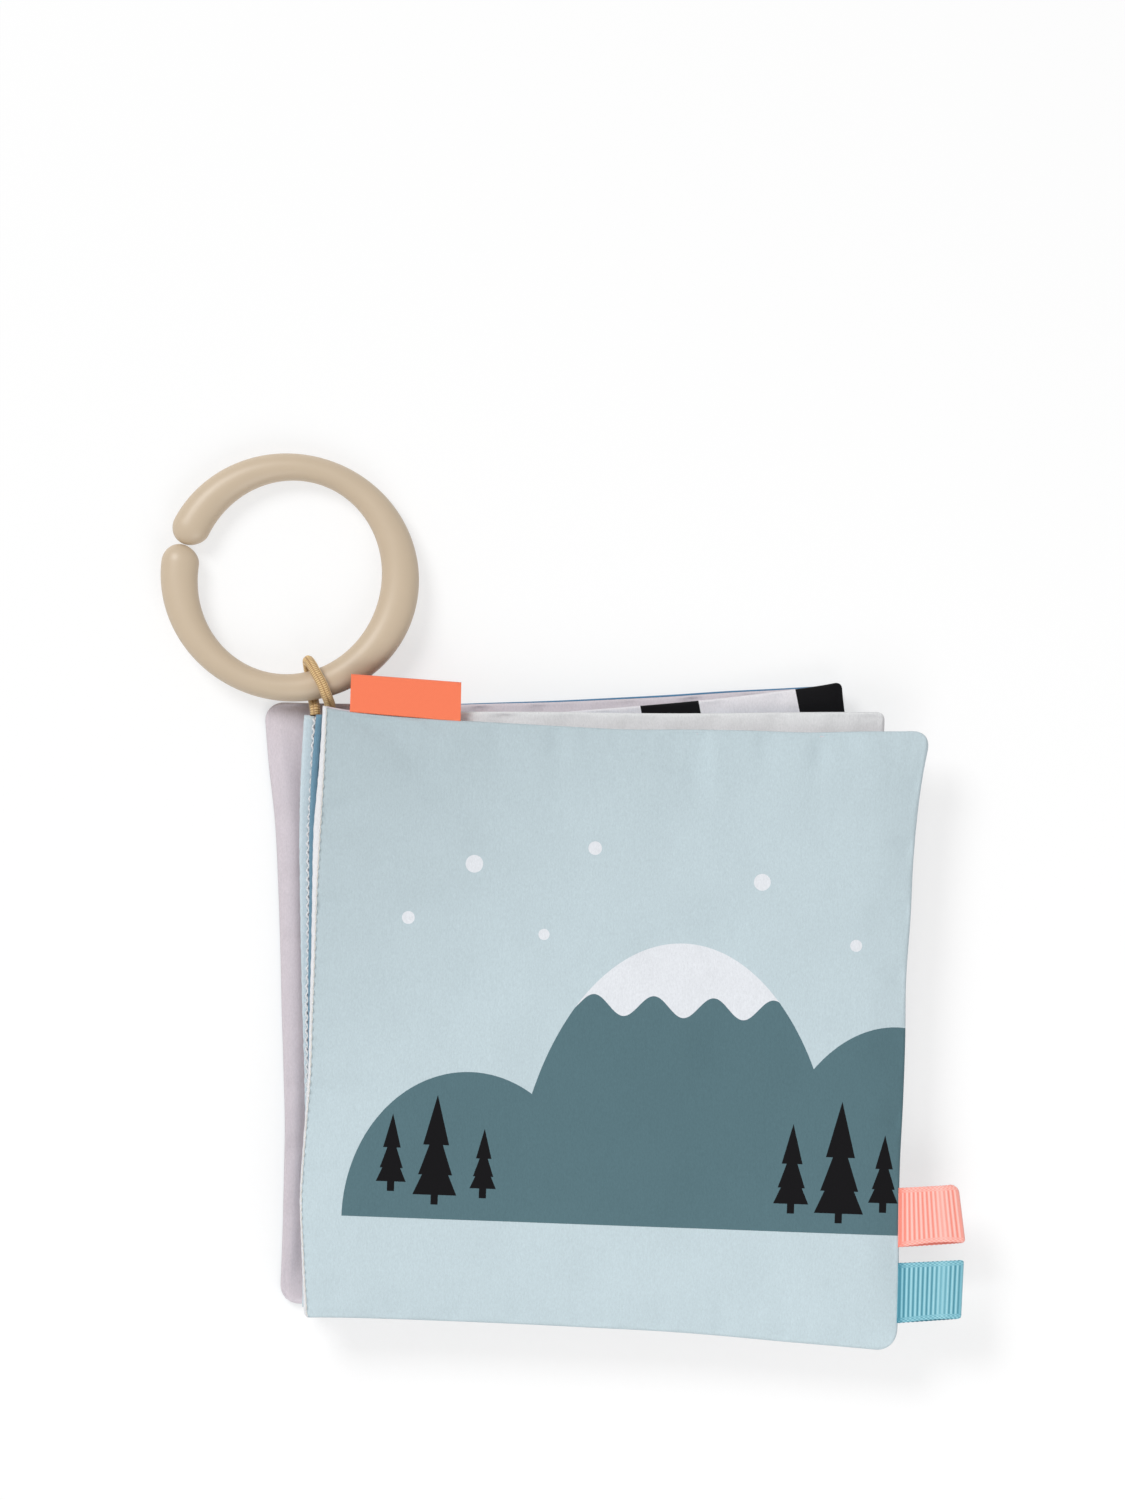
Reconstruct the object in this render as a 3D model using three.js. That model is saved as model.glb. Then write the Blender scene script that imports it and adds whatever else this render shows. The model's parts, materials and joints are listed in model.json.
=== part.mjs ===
// A closed soft book lying face up: two padded covers, two padded leaves, a fabric label, two ribbon
// loops and a split plastic ring on an elastic cord. Millimetres, +Z up, the table at z = 0.
// The spine runs along Y on the left, and the head of the book points to +Y.
import * as THREE from "three";

// Fabric, wadding and the stack of leaves
const fabric = 0.6; // thickness of one fabric face
const seamGap = 0.3; // between two fabrics at a seam, and beside what is sewn into it
const layerGap = 0.12; // between a fabric and what it covers
const leafThickness = 4.2; // of a padded leaf in its middle
const leafGap = 0.3; // between two leaves that lie on each other
const film = 0.2; // crinkle film thickness
const pillowRun = 18; // from a seam to the full thickness
const seamLines = [0, 1.5, 4.5, 10, pillowRun]; // grid lines beside a seam, measured from it
const innerLineShares = [0.22, 0.41, 0.59, 0.78]; // grid lines between the two outermost pillowRun lines
const paddingLine = 2; // the seam line where the wadding starts
const halfSeam = fabric + seamGap / 2; // half the thickness of a leaf at its seam
const flatCut = 0.9; // depth of the flat that the back cover lies on

// The leaves. Each has its spine edge on the left: head is that edge's upper end, the foot flare is how
// much wider the bottom edge is than the top one, and the turns and leans are in degrees. The corner
// radii run topLeft, topRight, bottomRight, bottomLeft, and the draws top, right, bottom, left. A draw
// is how far the sewn side bows in at its middle, and a top bias under 1 brings the deepest place of
// the top and bottom nearer to the spine.
const backCover = {
  head: [-73.75, 49.6],
  width: 143.8,
  topTurn: 1.8,
  spineHeight: 150,
  spineLean: 1.3,
  footFlare: -0.2,
  bottomTurn: 1.5,
  radii: [4, 2.6, 4, 3.6],
  draws: [1.6, 0.9, 0.9, 2.3],
  topBias: 0.75,
  edging: 0,
};
const leafThree = {
  head: [-64.8, 46.4],
  width: 134.8,
  topTurn: 3.4,
  spineHeight: 147.9,
  spineLean: 0,
  footFlare: 2.2,
  bottomTurn: 3.4,
  radii: [0, 2.5, 3, 0],
  draws: [2.9, 0.9, 0.9, 0],
  topBias: 0.8,
  edging: 2.4,
};
const leafTwo = {
  head: [-61.9, 47.1],
  width: 142.6,
  topTurn: 0.1,
  spineHeight: 149.2,
  spineLean: -0.6,
  footFlare: -1.1,
  bottomTurn: -0.6,
  radii: [0, 3, 3, 0],
  draws: [0.4, 0.9, 0.9, 0],
  topBias: 1,
  edging: 1.6,
};
const frontCover = {
  head: [-60.2, 48.9],
  width: 152.1,
  topTurn: -2.56,
  spineHeight: 153.1,
  spineLean: -1.62,
  footFlare: -3,
  bottomTurn: -2.91,
  radii: [0, 2, 3.8, 1.6],
  draws: [2.3, 2.2, 1.1, 0],
  topBias: 0.72,
  edging: 1.7,
};
const edgingHeight = 2.2; // of the overlocked edging along a spine edge
const edgingSides = 10;
const lipAtHead = 9; // width of the back cover's padded lip beside the spine
const lipAtFoot = 5.9;
const lipRun = 5; // from the lip's seam to its full thickness
const creaseRun = 2.4; // half width of the sewn crease beside the lip
const creaseShare = 0.75; // how much of the padding the crease presses out
const lipLineShares = [0, 0.17, 0.5, 0.78, 1]; // grid lines across the lip, up to the crease
const afterCreaseLines = [2.4, 5.5, pillowRun]; // and beyond it

// Tapes sewn into the front cover's seams
const tape = 0.32; // thickness of one layer
const tapeSlot = 0.25; // between the two layers of a folded tape
const labelWidth = 27.2;
const labelLength = 8.9;
const labelAlong = 7.6; // from the front cover's head to the label, along the top seam
const ribbonWidth = 15;
const ribbonLength = 15.6;
const coralRibbonAlong = 112.9; // from the front cover's upper right corner, along the right seam
const tealRibbonAlong = 131.9;
const ribbonTurn = 3; // from square to the right seam, degrees
const foldSides = 6; // facets round a tape's fold

// The split ring
const ringRadius = 27.7; // to the middle of its section
const ringWidth = 8.1; // across its section, flat on the table
const ringSwell = 1.5; // wider than that at the split and opposite it, narrower between
const ringThickness = 6.9;
const ringLeftOfHead = 3.1; // from leaf three's head to the ring's middle
const ringAboveHead = 34.7;
const splitAngle = 162.6;
const splitGap = 0.5;
const loopAngle = -74.5; // where the cord passes under the ring and lifts it
const loopLift = 3.8; // how much higher the ring lies there than on its far side
const ringFloorGap = 0.05;
const ringSections = 44;
const ringSides = 12;
const endAngles = [22, 45, 68]; // sections of the round ends

// The elastic cord, as points on its route from leaf three's top seam, under the ring and back over it
const cordDiameter = 2.7;
const cordSides = 8;
const cordSteps = 26;
const cordRoute = [
  [-61.5, 46.6, 6.6],
  [-61.6, 48.2, 6.3],
  [-61.8, 49.4, 5.0],
  [-62.1, 50.9, 3.4],
  [-62.4, 53.2, 2.2],
  [-62.8, 55.9, 2.1],
  [-63.2, 58.6, 3.6],
  [-63.3, 60.2, 7.0],
  [-62.5, 59.4, 10.6],
  [-61.2, 57.1, 12.6],
  [-59.8, 54.5, 13.1],
  [-58.7, 51.8, 12.4],
  [-57.9, 49.7, 10.4],
  [-57.7, 48.6, 8.2],
  [-57.7, 46.5, 7.0],
];

const blue = new THREE.MeshStandardMaterial({ color: 0xbfd0d6, roughness: 0.95, metalness: 0 });
const lilac = new THREE.MeshStandardMaterial({ color: 0xd7cad3, roughness: 0.95, metalness: 0 });
const deepBlue = new THREE.MeshStandardMaterial({ color: 0x6f9cbd, roughness: 0.95, metalness: 0 });
const greyWhite = new THREE.MeshStandardMaterial({ color: 0xdbd8db, roughness: 0.95, metalness: 0 });
const white = new THREE.MeshStandardMaterial({ color: 0xe8e8e8, roughness: 0.95, metalness: 0 });
const padding = new THREE.MeshStandardMaterial({ color: 0xf4f2ee, roughness: 1, metalness: 0 });
const crinkle = new THREE.MeshStandardMaterial({ color: 0xdfe6ea, roughness: 0.25, metalness: 0 });
const coral = new THREE.MeshStandardMaterial({ color: 0xff7a50, roughness: 0.8, metalness: 0 });
const rose = new THREE.MeshStandardMaterial({ color: 0xfb9c8c, roughness: 0.8, metalness: 0 });
const teal = new THREE.MeshStandardMaterial({ color: 0x6cb4c0, roughness: 0.8, metalness: 0 });
const gold = new THREE.MeshStandardMaterial({ color: 0xb99e6e, roughness: 0.8, metalness: 0 });
const beige = new THREE.MeshStandardMaterial({ color: 0xc8b498, roughness: 0.55, metalness: 0 });

const radians = THREE.MathUtils.degToRad;
const lerp = THREE.MathUtils.lerp;

/** The four corners of a leaf, and the directions of its sides. */
function cornersOf(leaf) {
  const along = (length, turn) => new THREE.Vector2(length * Math.cos(turn), length * Math.sin(turn));
  const topLeft = new THREE.Vector2(...leaf.head);
  const spine = along(leaf.spineHeight, radians(leaf.spineLean - 90));
  const bottomLeft = topLeft.clone().add(spine);
  const topRight = topLeft.clone().add(along(leaf.width, radians(leaf.topTurn)));
  const bottomRight = bottomLeft.clone().add(along(leaf.width + leaf.footFlare, radians(leaf.bottomTurn)));
  return { topLeft, topRight, bottomRight, bottomLeft };
}

/** Rounds a corner: the square beside it, in shares of the radius, becomes a quarter disc. */
function roundedCorner(x, y, radius) {
  if (x >= radius || y >= radius) return [x, y];
  const p = 1 - x / radius;
  const q = 1 - y / radius;
  return [
    radius * (1 - p * Math.sqrt(1 - (q * q) / 2)),
    radius * (1 - q * Math.sqrt(1 - (p * p) / 2)),
  ];
}

/** A side's bow, from 0 at its ends to 1 at its middle. */
function bow(share) {
  return 4 * share * (1 - share);
}

/** The place in plan of a point that lies x from the leaf's spine edge and y from its top edge. */
function planPoint(leaf, x, y) {
  const { topLeft, topRight, bottomRight, bottomLeft } = cornersOf(leaf);
  const width = leaf.width;
  const height = leaf.spineHeight;
  const left = x < width / 2;
  const top = y < height / 2;
  const radius = leaf.radii[top ? (left ? 0 : 1) : left ? 3 : 2];
  const [fromSide, fromEnd] = roundedCorner(left ? x : width - x, top ? y : height - y, radius);
  const s = (left ? fromSide : width - fromSide) / width;
  const t = (top ? fromEnd : height - fromEnd) / height;
  const upper = topLeft.clone().lerp(topRight, s);
  const lower = bottomLeft.clone().lerp(bottomRight, s);
  const point = upper.lerp(lower, t);
  const [drawTop, drawRight, drawBottom, drawLeft] = leaf.draws;
  const bowAcross = bow(s ** leaf.topBias);
  const bowAlong = bow(t);
  point.y += bowAcross * (drawBottom * t ** 3 - drawTop * (1 - t) ** 3);
  point.x += bowAlong * (drawLeft * (1 - s) ** 3 - drawRight * s ** 3);
  return point;
}

/** From 0 at a seam to 1 where the padding is at its full thickness. */
function swell(distance, run) {
  const left = 1 - Math.min(distance / run, 1);
  return 1 - left * left;
}

/** A grid line for each seam line of both sides and each inner line between them. */
function gridLines(length, firstLines = seamLines) {
  const first = firstLines[firstLines.length - 1];
  const last = length - pillowRun;
  const inner = innerLineShares.map((share) => lerp(first, last, share));
  return [...firstLines, ...inner, ...seamLines.map((line) => length - line).reverse()];
}

/** A plain leaf's grid: lines across and down, its plan and half its thickness at each crossing. */
function plainGrid(leaf) {
  const inset = leaf.edging + seamGap;
  const width = leaf.width - inset;
  const across = gridLines(width);
  const down = gridLines(leaf.spineHeight);
  const run = (distance, length) => swell(Math.min(distance, length - distance), pillowRun);
  return {
    across,
    down,
    plan: (x, y) => planPoint(leaf, x + inset, y),
    half: (x, y) =>
      lerp(halfSeam, leafThickness / 2, run(x, width) * run(y, leaf.spineHeight)),
  };
}

/** The back cover's grid, with its lip and the crease beside the spine. */
function lippedGrid(leaf) {
  const lip = (lipAtHead + lipAtFoot) / 2;
  const width = leaf.width;
  const lines = [
    ...lipLineShares.map((share) => share * lip),
    ...afterCreaseLines.map((line) => lip + line),
  ];
  const full = (leafThickness + flatCut) / 2;
  const lipped = (x, y) => {
    const here = lerp(lipAtHead, lipAtFoot, y / leaf.spineHeight);
    return x <= lip ? (x * here) / lip : here + ((x - lip) * (width - here)) / (width - lip);
  };
  return {
    across: gridLines(width, lines),
    down: gridLines(leaf.spineHeight),
    plan: (x, y) => planPoint(leaf, lipped(x, y), y),
    half: (x, y) => {
      const sides = swell(x, lipRun) * swell(width - x, pillowRun);
      const ends = swell(Math.min(y, leaf.spineHeight - y), pillowRun);
      const crease = 1 - creaseShare * Math.exp(-(((x - lip) / creaseRun) ** 2));
      return lerp(halfSeam, full, sides * ends * crease);
    },
  };
}

/** A closed solid over the crossings of a grid, between two heights at each of them. */
function sheetGeometry(across, down, plan, upper, lower) {
  const columns = across.length;
  const positions = [];
  for (const height of [upper, lower]) {
    for (const y of down) {
      for (const x of across) {
        const point = plan(x, y);
        positions.push(point.x, point.y, height(x, y));
      }
    }
  }
  const crossings = columns * down.length;
  const triangles = [];
  const quad = (a, b, c, d) => triangles.push(a, b, c, a, c, d);
  for (let row = 0; row < down.length - 1; row += 1) {
    for (let column = 0; column < columns - 1; column += 1) {
      const a = row * columns + column;
      const [b, c, d] = [a + columns, a + columns + 1, a + 1];
      quad(a, b, c, d);
      triangles.push(a + crossings, c + crossings, b + crossings);
      triangles.push(a + crossings, d + crossings, c + crossings);
    }
  }
  const wall = (a, b) => quad(a, b, b + crossings, a + crossings);
  for (let column = 0; column < columns - 1; column += 1) {
    const foot = (down.length - 1) * columns + column;
    wall(column, column + 1);
    wall(foot + 1, foot);
  }
  for (let row = 0; row < down.length - 1; row += 1) {
    const head = row * columns;
    wall(head + columns, head);
    wall(head + columns - 1, head + 2 * columns - 1);
  }
  return closedGeometry(positions, triangles);
}

/** A geometry from its corners and triangles. */
function closedGeometry(positions, triangles) {
  const geometry = new THREE.BufferGeometry();
  geometry.setAttribute("position", new THREE.Float32BufferAttribute(positions, 3));
  geometry.setIndex(triangles);
  geometry.computeVertexNormals();
  return geometry;
}

/** A named mesh. */
function piece(name, geometry, material) {
  const mesh = new THREE.Mesh(geometry, material);
  mesh.name = name;
  return mesh;
}

/** The two fabrics and the wadding of a leaf whose seam lies at height middle. */
function paddedLeaf(names, grid, middle, materials, filmName) {
  const { across, down, plan, half } = grid;
  const insideAcross = across.slice(paddingLine, -paddingLine);
  const insideDown = down.slice(paddingLine, -paddingLine);
  const over = (cover) => (x, y) => middle + half(x, y) - cover;
  const under = (cover) => (x, y) => Math.max(middle - half(x, y), 0) + cover;
  const padCover = fabric + layerGap;
  const filmCover = filmName ? film + layerGap : 0;
  const pieces = [
    piece(names[0], sheetGeometry(across, down, plan, over(0), over(fabric)), materials[0]),
    piece(names[1], sheetGeometry(across, down, plan, under(fabric), under(0)), materials[1]),
    piece(
      names[2],
      sheetGeometry(insideAcross, insideDown, plan, over(padCover), under(padCover + filmCover)),
      padding,
    ),
  ];
  if (filmName) {
    const sheet = sheetGeometry(insideAcross, insideDown, plan, under(padCover + film), under(padCover));
    pieces.push(piece(filmName, sheet, crinkle));
  }
  return pieces;
}

/** The overlocked edging along a leaf's spine edge, an oval bar from head to foot. */
function spineEdging(name, leaf, middle, material) {
  const section = new THREE.Shape();
  section.absellipse(0, 0, leaf.edging / 2, edgingHeight / 2, 0, 2 * Math.PI);
  const geometry = new THREE.ExtrudeGeometry(section, {
    depth: leaf.spineHeight,
    bevelEnabled: false,
    curveSegments: edgingSides / 2,
  });
  geometry.rotateX(Math.PI / 2);
  geometry.translate(leaf.edging / 2, 0, 0);
  const mesh = piece(name, geometry, material);
  mesh.position.set(...leaf.head, middle);
  mesh.rotation.z = radians(leaf.spineLean);
  return mesh;
}

/** A tape folded in two: its ends lie at the origin's seam and its fold at length along +Y. */
function foldedTape(name, width, length, material) {
  const outer = tape + tapeSlot / 2;
  const inner = tapeSlot / 2;
  const fold = length - outer;
  const section = new THREE.Shape();
  section.moveTo(0, -outer);
  section.lineTo(fold, -outer);
  section.absarc(fold, 0, outer, -Math.PI / 2, Math.PI / 2, false);
  section.lineTo(0, outer);
  section.lineTo(0, inner);
  section.lineTo(fold, inner);
  section.absarc(fold, 0, inner, Math.PI / 2, -Math.PI / 2, true);
  section.lineTo(0, -inner);
  section.closePath();
  const geometry = new THREE.ExtrudeGeometry(section, {
    depth: width,
    bevelEnabled: false,
    curveSegments: foldSides,
  });
  geometry.rotateX(Math.PI / 2);
  geometry.rotateZ(Math.PI / 2);
  return piece(name, geometry, material);
}

/** Puts a folded tape beside a seam, given as its edge point at each distance along the seam. */
function sewnBeside(mesh, edgePoint, along, width, turn, middle) {
  const start = edgePoint(along);
  const seam = edgePoint(along + width).sub(start);
  const outward = new THREE.Vector2(-seam.y, seam.x).setLength(seamGap);
  start.add(outward);
  mesh.position.set(start.x, start.y, middle);
  mesh.rotation.z = seam.angle() + radians(turn);
  return mesh;
}

/** The split ring, flat in its own plane, with its split at the angle 0. */
function ringGeometry() {
  const swellAt = (angle) => ringWidth + ringSwell * Math.cos(2 * angle);
  const endRadius = swellAt(0) / 2;
  const firstAngle = splitGap / 2 / ringRadius;
  const endArc = endRadius / ringRadius;
  const sections = endAngles.map((degrees) => {
    const a = radians(degrees);
    return { angle: firstAngle + endArc * (1 - Math.cos(a)), size: Math.sin(a) };
  });
  const mirrored = sections.map(({ angle, size }) => ({ angle: 2 * Math.PI - angle, size }));
  const start = firstAngle + endArc;
  for (let i = 0; i <= ringSections; i += 1) {
    sections.push({ angle: lerp(start, 2 * Math.PI - start, i / ringSections), size: 1 });
  }
  sections.push(...mirrored.reverse());
  const positions = [];
  for (const { angle, size } of sections) {
    for (let k = 0; k < ringSides; k += 1) {
      const side = (2 * Math.PI * k) / ringSides;
      const radius = ringRadius + (size * swellAt(angle) * Math.cos(side)) / 2;
      const height = (size * ringThickness * Math.sin(side)) / 2;
      positions.push(radius * Math.cos(angle), radius * Math.sin(angle), height);
    }
  }
  const tips = [firstAngle, 2 * Math.PI - firstAngle];
  for (const angle of tips) {
    positions.push(ringRadius * Math.cos(angle), ringRadius * Math.sin(angle), 0);
  }
  const count = sections.length;
  const triangles = [];
  for (let k = 0; k < ringSides; k += 1) {
    const next = (k + 1) % ringSides;
    for (let i = 0; i < count - 1; i += 1) {
      const a = i * ringSides;
      const b = a + ringSides;
      triangles.push(a + k, b + next, a + next, a + k, b + k, b + next);
    }
    const last = (count - 1) * ringSides;
    triangles.push(count * ringSides, k, next);
    triangles.push(count * ringSides + 1, last + next, last + k);
  }
  return closedGeometry(positions, triangles);
}

/** The split ring, tilted so that its far side lies on the table and its loop side on the cord. */
function linkRing() {
  const mesh = piece("link_ring", ringGeometry(), beige);
  mesh.rotation.z = radians(splitAngle);
  const tilted = new THREE.Group();
  const tilt = Math.asin(loopLift / 2 / ringRadius);
  const tangent = radians(loopAngle + 90);
  tilted.quaternion.setFromAxisAngle(new THREE.Vector3(Math.cos(tangent), Math.sin(tangent), 0), -tilt);
  const [headX, headY] = leafThree.head;
  const height = (ringThickness + loopLift) / 2 + ringFloorGap;
  tilted.position.set(headX - ringLeftOfHead, headY + ringAboveHead, height);
  tilted.add(mesh);
  return tilted;
}

/** The elastic cord's loop through the ring. */
function cordLoop() {
  const section = new THREE.Shape();
  section.absarc(0, 0, cordDiameter / 2, 0, 2 * Math.PI);
  const route = new THREE.CatmullRomCurve3(cordRoute.map((point) => new THREE.Vector3(...point)));
  const geometry = new THREE.ExtrudeGeometry(section, {
    extrudePath: route,
    steps: cordSteps,
    curveSegments: cordSides / 2,
    bevelEnabled: false,
  });
  return piece("elastic_cord_loop", geometry, gold);
}

const pitch = leafThickness + leafGap;
const middles = [0, 1, 2, 3].map((level) => level * pitch + leafThickness / 2);
middles[0] = leafThickness - (leafThickness + flatCut) / 2;

const backPieces = paddedLeaf(
  ["back_cover_inner_fabric", "back_cover_outer_fabric", "back_cover_wadding"],
  lippedGrid(backCover),
  middles[0],
  [lilac, deepBlue],
);
const leafThreePieces = paddedLeaf(
  ["leaf_three_front_fabric", "leaf_three_back_fabric", "leaf_three_wadding"],
  plainGrid(leafThree),
  middles[1],
  [greyWhite, blue],
);
const leafTwoPieces = paddedLeaf(
  ["leaf_two_front_fabric", "leaf_two_back_fabric", "leaf_two_wadding"],
  plainGrid(leafTwo),
  middles[2],
  [white, deepBlue],
);
const frontPieces = paddedLeaf(
  ["front_cover_outer_fabric", "front_cover_inner_fabric", "front_cover_wadding"],
  plainGrid(frontCover),
  middles[3],
  [blue, lilac],
  "front_cover_crinkle_film",
);

const topSeam = (along) => planPoint(frontCover, along, 0);
const rightSeam = (along) => planPoint(frontCover, frontCover.width, along);
const ribbon = (name, along, material) =>
  sewnBeside(
    foldedTape(name, ribbonWidth, ribbonLength, material),
    rightSeam,
    along,
    ribbonWidth,
    ribbonTurn,
    middles[3],
  );
const label = sewnBeside(
  foldedTape("side_label", labelWidth, labelLength, coral),
  topSeam,
  labelAlong,
  labelWidth,
  0,
  middles[3],
);

const book = new THREE.Group();
book.add(
  ...backPieces,
  ...leafThreePieces,
  spineEdging("leaf_three_spine_edging", leafThree, middles[1], blue),
  ...leafTwoPieces,
  spineEdging("leaf_two_spine_edging", leafTwo, middles[2], deepBlue),
  ...frontPieces,
  spineEdging("front_cover_spine_overlock", frontCover, middles[3], white),
  label,
  ribbon("coral_ribbon_loop", coralRibbonAlong, rose),
  ribbon("teal_ribbon_loop", tealRibbonAlong, teal),
  cordLoop(),
  linkRing(),
);

// The book's reference point is the middle of its footprint on the table
const footprint = new THREE.Box3().setFromObject(book, true).getCenter(new THREE.Vector3());
book.position.set(-footprint.x, -footprint.y, 0);

export default book;
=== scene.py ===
"""A child's soft book with a link ring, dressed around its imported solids."""

import json
import math
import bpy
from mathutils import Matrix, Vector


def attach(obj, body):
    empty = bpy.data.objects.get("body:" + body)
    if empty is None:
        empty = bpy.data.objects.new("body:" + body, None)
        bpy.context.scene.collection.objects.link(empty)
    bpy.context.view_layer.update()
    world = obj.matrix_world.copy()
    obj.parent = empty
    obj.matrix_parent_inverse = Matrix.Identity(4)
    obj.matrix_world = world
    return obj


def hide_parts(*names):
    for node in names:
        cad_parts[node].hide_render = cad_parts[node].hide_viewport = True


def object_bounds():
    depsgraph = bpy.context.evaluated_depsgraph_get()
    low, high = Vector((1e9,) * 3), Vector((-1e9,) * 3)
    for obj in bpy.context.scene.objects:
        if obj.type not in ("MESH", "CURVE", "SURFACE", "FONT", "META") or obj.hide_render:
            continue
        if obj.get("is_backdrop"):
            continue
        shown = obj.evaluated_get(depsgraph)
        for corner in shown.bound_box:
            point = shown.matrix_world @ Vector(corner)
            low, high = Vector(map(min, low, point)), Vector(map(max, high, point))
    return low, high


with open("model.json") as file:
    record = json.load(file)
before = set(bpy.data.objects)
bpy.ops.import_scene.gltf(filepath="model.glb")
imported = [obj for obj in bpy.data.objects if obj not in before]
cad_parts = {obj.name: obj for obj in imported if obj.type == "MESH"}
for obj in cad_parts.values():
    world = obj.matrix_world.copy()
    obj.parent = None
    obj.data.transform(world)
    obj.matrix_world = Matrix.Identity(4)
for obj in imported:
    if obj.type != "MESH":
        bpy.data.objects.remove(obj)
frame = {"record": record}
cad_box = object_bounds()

from types import SimpleNamespace

import bpy
import numpy as np
from mathutils import Matrix, Vector

bl_info = {
    "name": "Soft Book",
    "version": (1, 0, 0),
    "blender": (4, 5, 0),
    "location": "View3D > Sidebar > Soft Book",
    "description": "Builds the padded leaves, tapes, cord and ring of a soft book",
    "category": "Object",
}

MM = 0.001

PICTURE_SIZE = (1125, 1500)
PIXELS_PER_MM = 4.0
ORIGIN_PIXEL = (561.0, 901.5)


def linear(red, green, blue):
    """A colour as it is seen on screen, from 0 to 255, turned into the light that it stands for."""
    def channel(value):
        share = value / 255
        return share / 12.92 if share <= 0.04045 else ((share + 0.055) / 1.055) ** 2.4
    return channel(red), channel(green), channel(blue)


def rgba(colour):
    return (*colour, 1.0)


def lerp(a, b, share):
    return a + (b - a) * share


def smooth(share):
    share = np.clip(share, 0, 1)
    return share * share * (3 - 2 * share)


def bell(distance, width=1.0):
    """1 where the distance is 0, falling off to nearly 0 at two widths."""
    return np.exp(-(distance / width) ** 2)


def direction(degrees):
    return np.array([math.cos(math.radians(degrees)), math.sin(math.radians(degrees))])


# The leaves' plans, in millimetres and degrees. A leaf hangs from its head, the upper end of its spine.
# Radii run from the top left clockwise, and draws are how far the top, fore, bottom and spine edges bow in.
# A wander is how far up or right an edge strays from its bow, at even shares of its length. An edging is as
# wide as its own such table says, and a peek is where the back fabric shows past the front one's top edge.
# A tuck is its place along the seam, its slant, its width, how far it reaches in and its depth.

def leaf_plan(body, level, head, width, top_turn, spine_height, spine_lean, foot_flare, bottom_turn,
              radii, draws, top_bias, edging, spine_wander, top_wander, seed, tucks, spine_tucks=(),
              fore_wander=(0, 0), foot_wander=(0, 0), ear=0.0, peek=(0, 0)):
    return SimpleNamespace(**locals())


BACK = leaf_plan(
    "back_cover", 0, (-73.75, 49.6), 143.8, 1.8, 150.9, 1.3, -0.2, 1.5,
    radii=(5.2, 2.6, 4.0, 5.4), draws=(1.6, 0.9, 0.9, 2.3), top_bias=0.75, edging=(0.0, 0.0),
    spine_wander=(-0.8, -0.75, -0.1, -0.15, -0.25, -0.35, -0.15, 0.15, 0.0, -0.1, -0.25),
    top_wander=(0.6, 0.5, 0.25, -0.1, -0.1, -0.2, -0.15, -0.1, 0.1, 0.0, 0.0),
    peek=(0.0, 0.0, 0.1, 0.18, 0.24, 0.34, 0.4, 0.45, 0.4, 0.35, 0.2), seed=1.3,
    tucks=((52.0, 0.1, 1.6, 9.0, 0.9), (66.5, 0.1, 1.6, 9.0, 0.9), (106.5, -0.1, 1.8, 9.0, 1.0)))
THIRD = leaf_plan(
    "leaf_three", 1, (-64.8, 46.4), 134.8, 3.4, 147.9, 0.0, 2.2, 3.4,
    radii=(0.0, 1.7, 3.0, 0.0), draws=(2.9, 0.9, 0.9, 0.0), top_bias=0.8,
    edging=(2.65, 2.75, 2.3, 2.1, 1.85, 1.25, 0.85, 0.85, 1.0, 1.2, 1.3),
    spine_wander=(0.45, -0.35, -0.72, -0.58, -0.3, 0.02, 0.53, 0.7, 0.5, 0.2, 0.0),
    top_wander=(0.3, 0.1, 0.0, 0.0, 0.0, 0.1, 0.1, 0.0, 0.0, 0.1, 0.0),
    fore_wander=(-0.1, 1.9, 2.1, 1.8, 1.5, 1.2, 0.9, 0.7, 0.5, 0.3, 0.2, 0.1, 0.0), ear=0.7,
    seed=2.6, tucks=((75.0, 0.1, 2.2, 12.0, 0.5),))
SECOND = leaf_plan(
    "leaf_two", 2, (-61.9, 47.1), 142.6, 0.1, 149.2, -0.6, -1.1, -0.6,
    radii=(0.0, 2.0, 3.0, 0.0), draws=(0.4, 0.9, 0.9, 0.0), top_bias=1.0, edging=(1.7, 1.7),
    spine_wander=(0.62, -0.4, -0.79, -0.6, -0.65, -0.57, -0.5, -0.4, -0.3, -0.2, 0.0),
    top_wander=(-0.4, 0.1, 0.6, 0.7, 0.7, 0.5, 0.25, 0.2, 0.3, 0.25, 0.1),
    fore_wander=(0.3, 0.8, 0.6, 0.3, 0.0),
    seed=3.9, tucks=((47.0, 0.0, 2.4, 12.0, 0.7), (139.0, 0.1, 2.0, 10.0, 0.6)))
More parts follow.
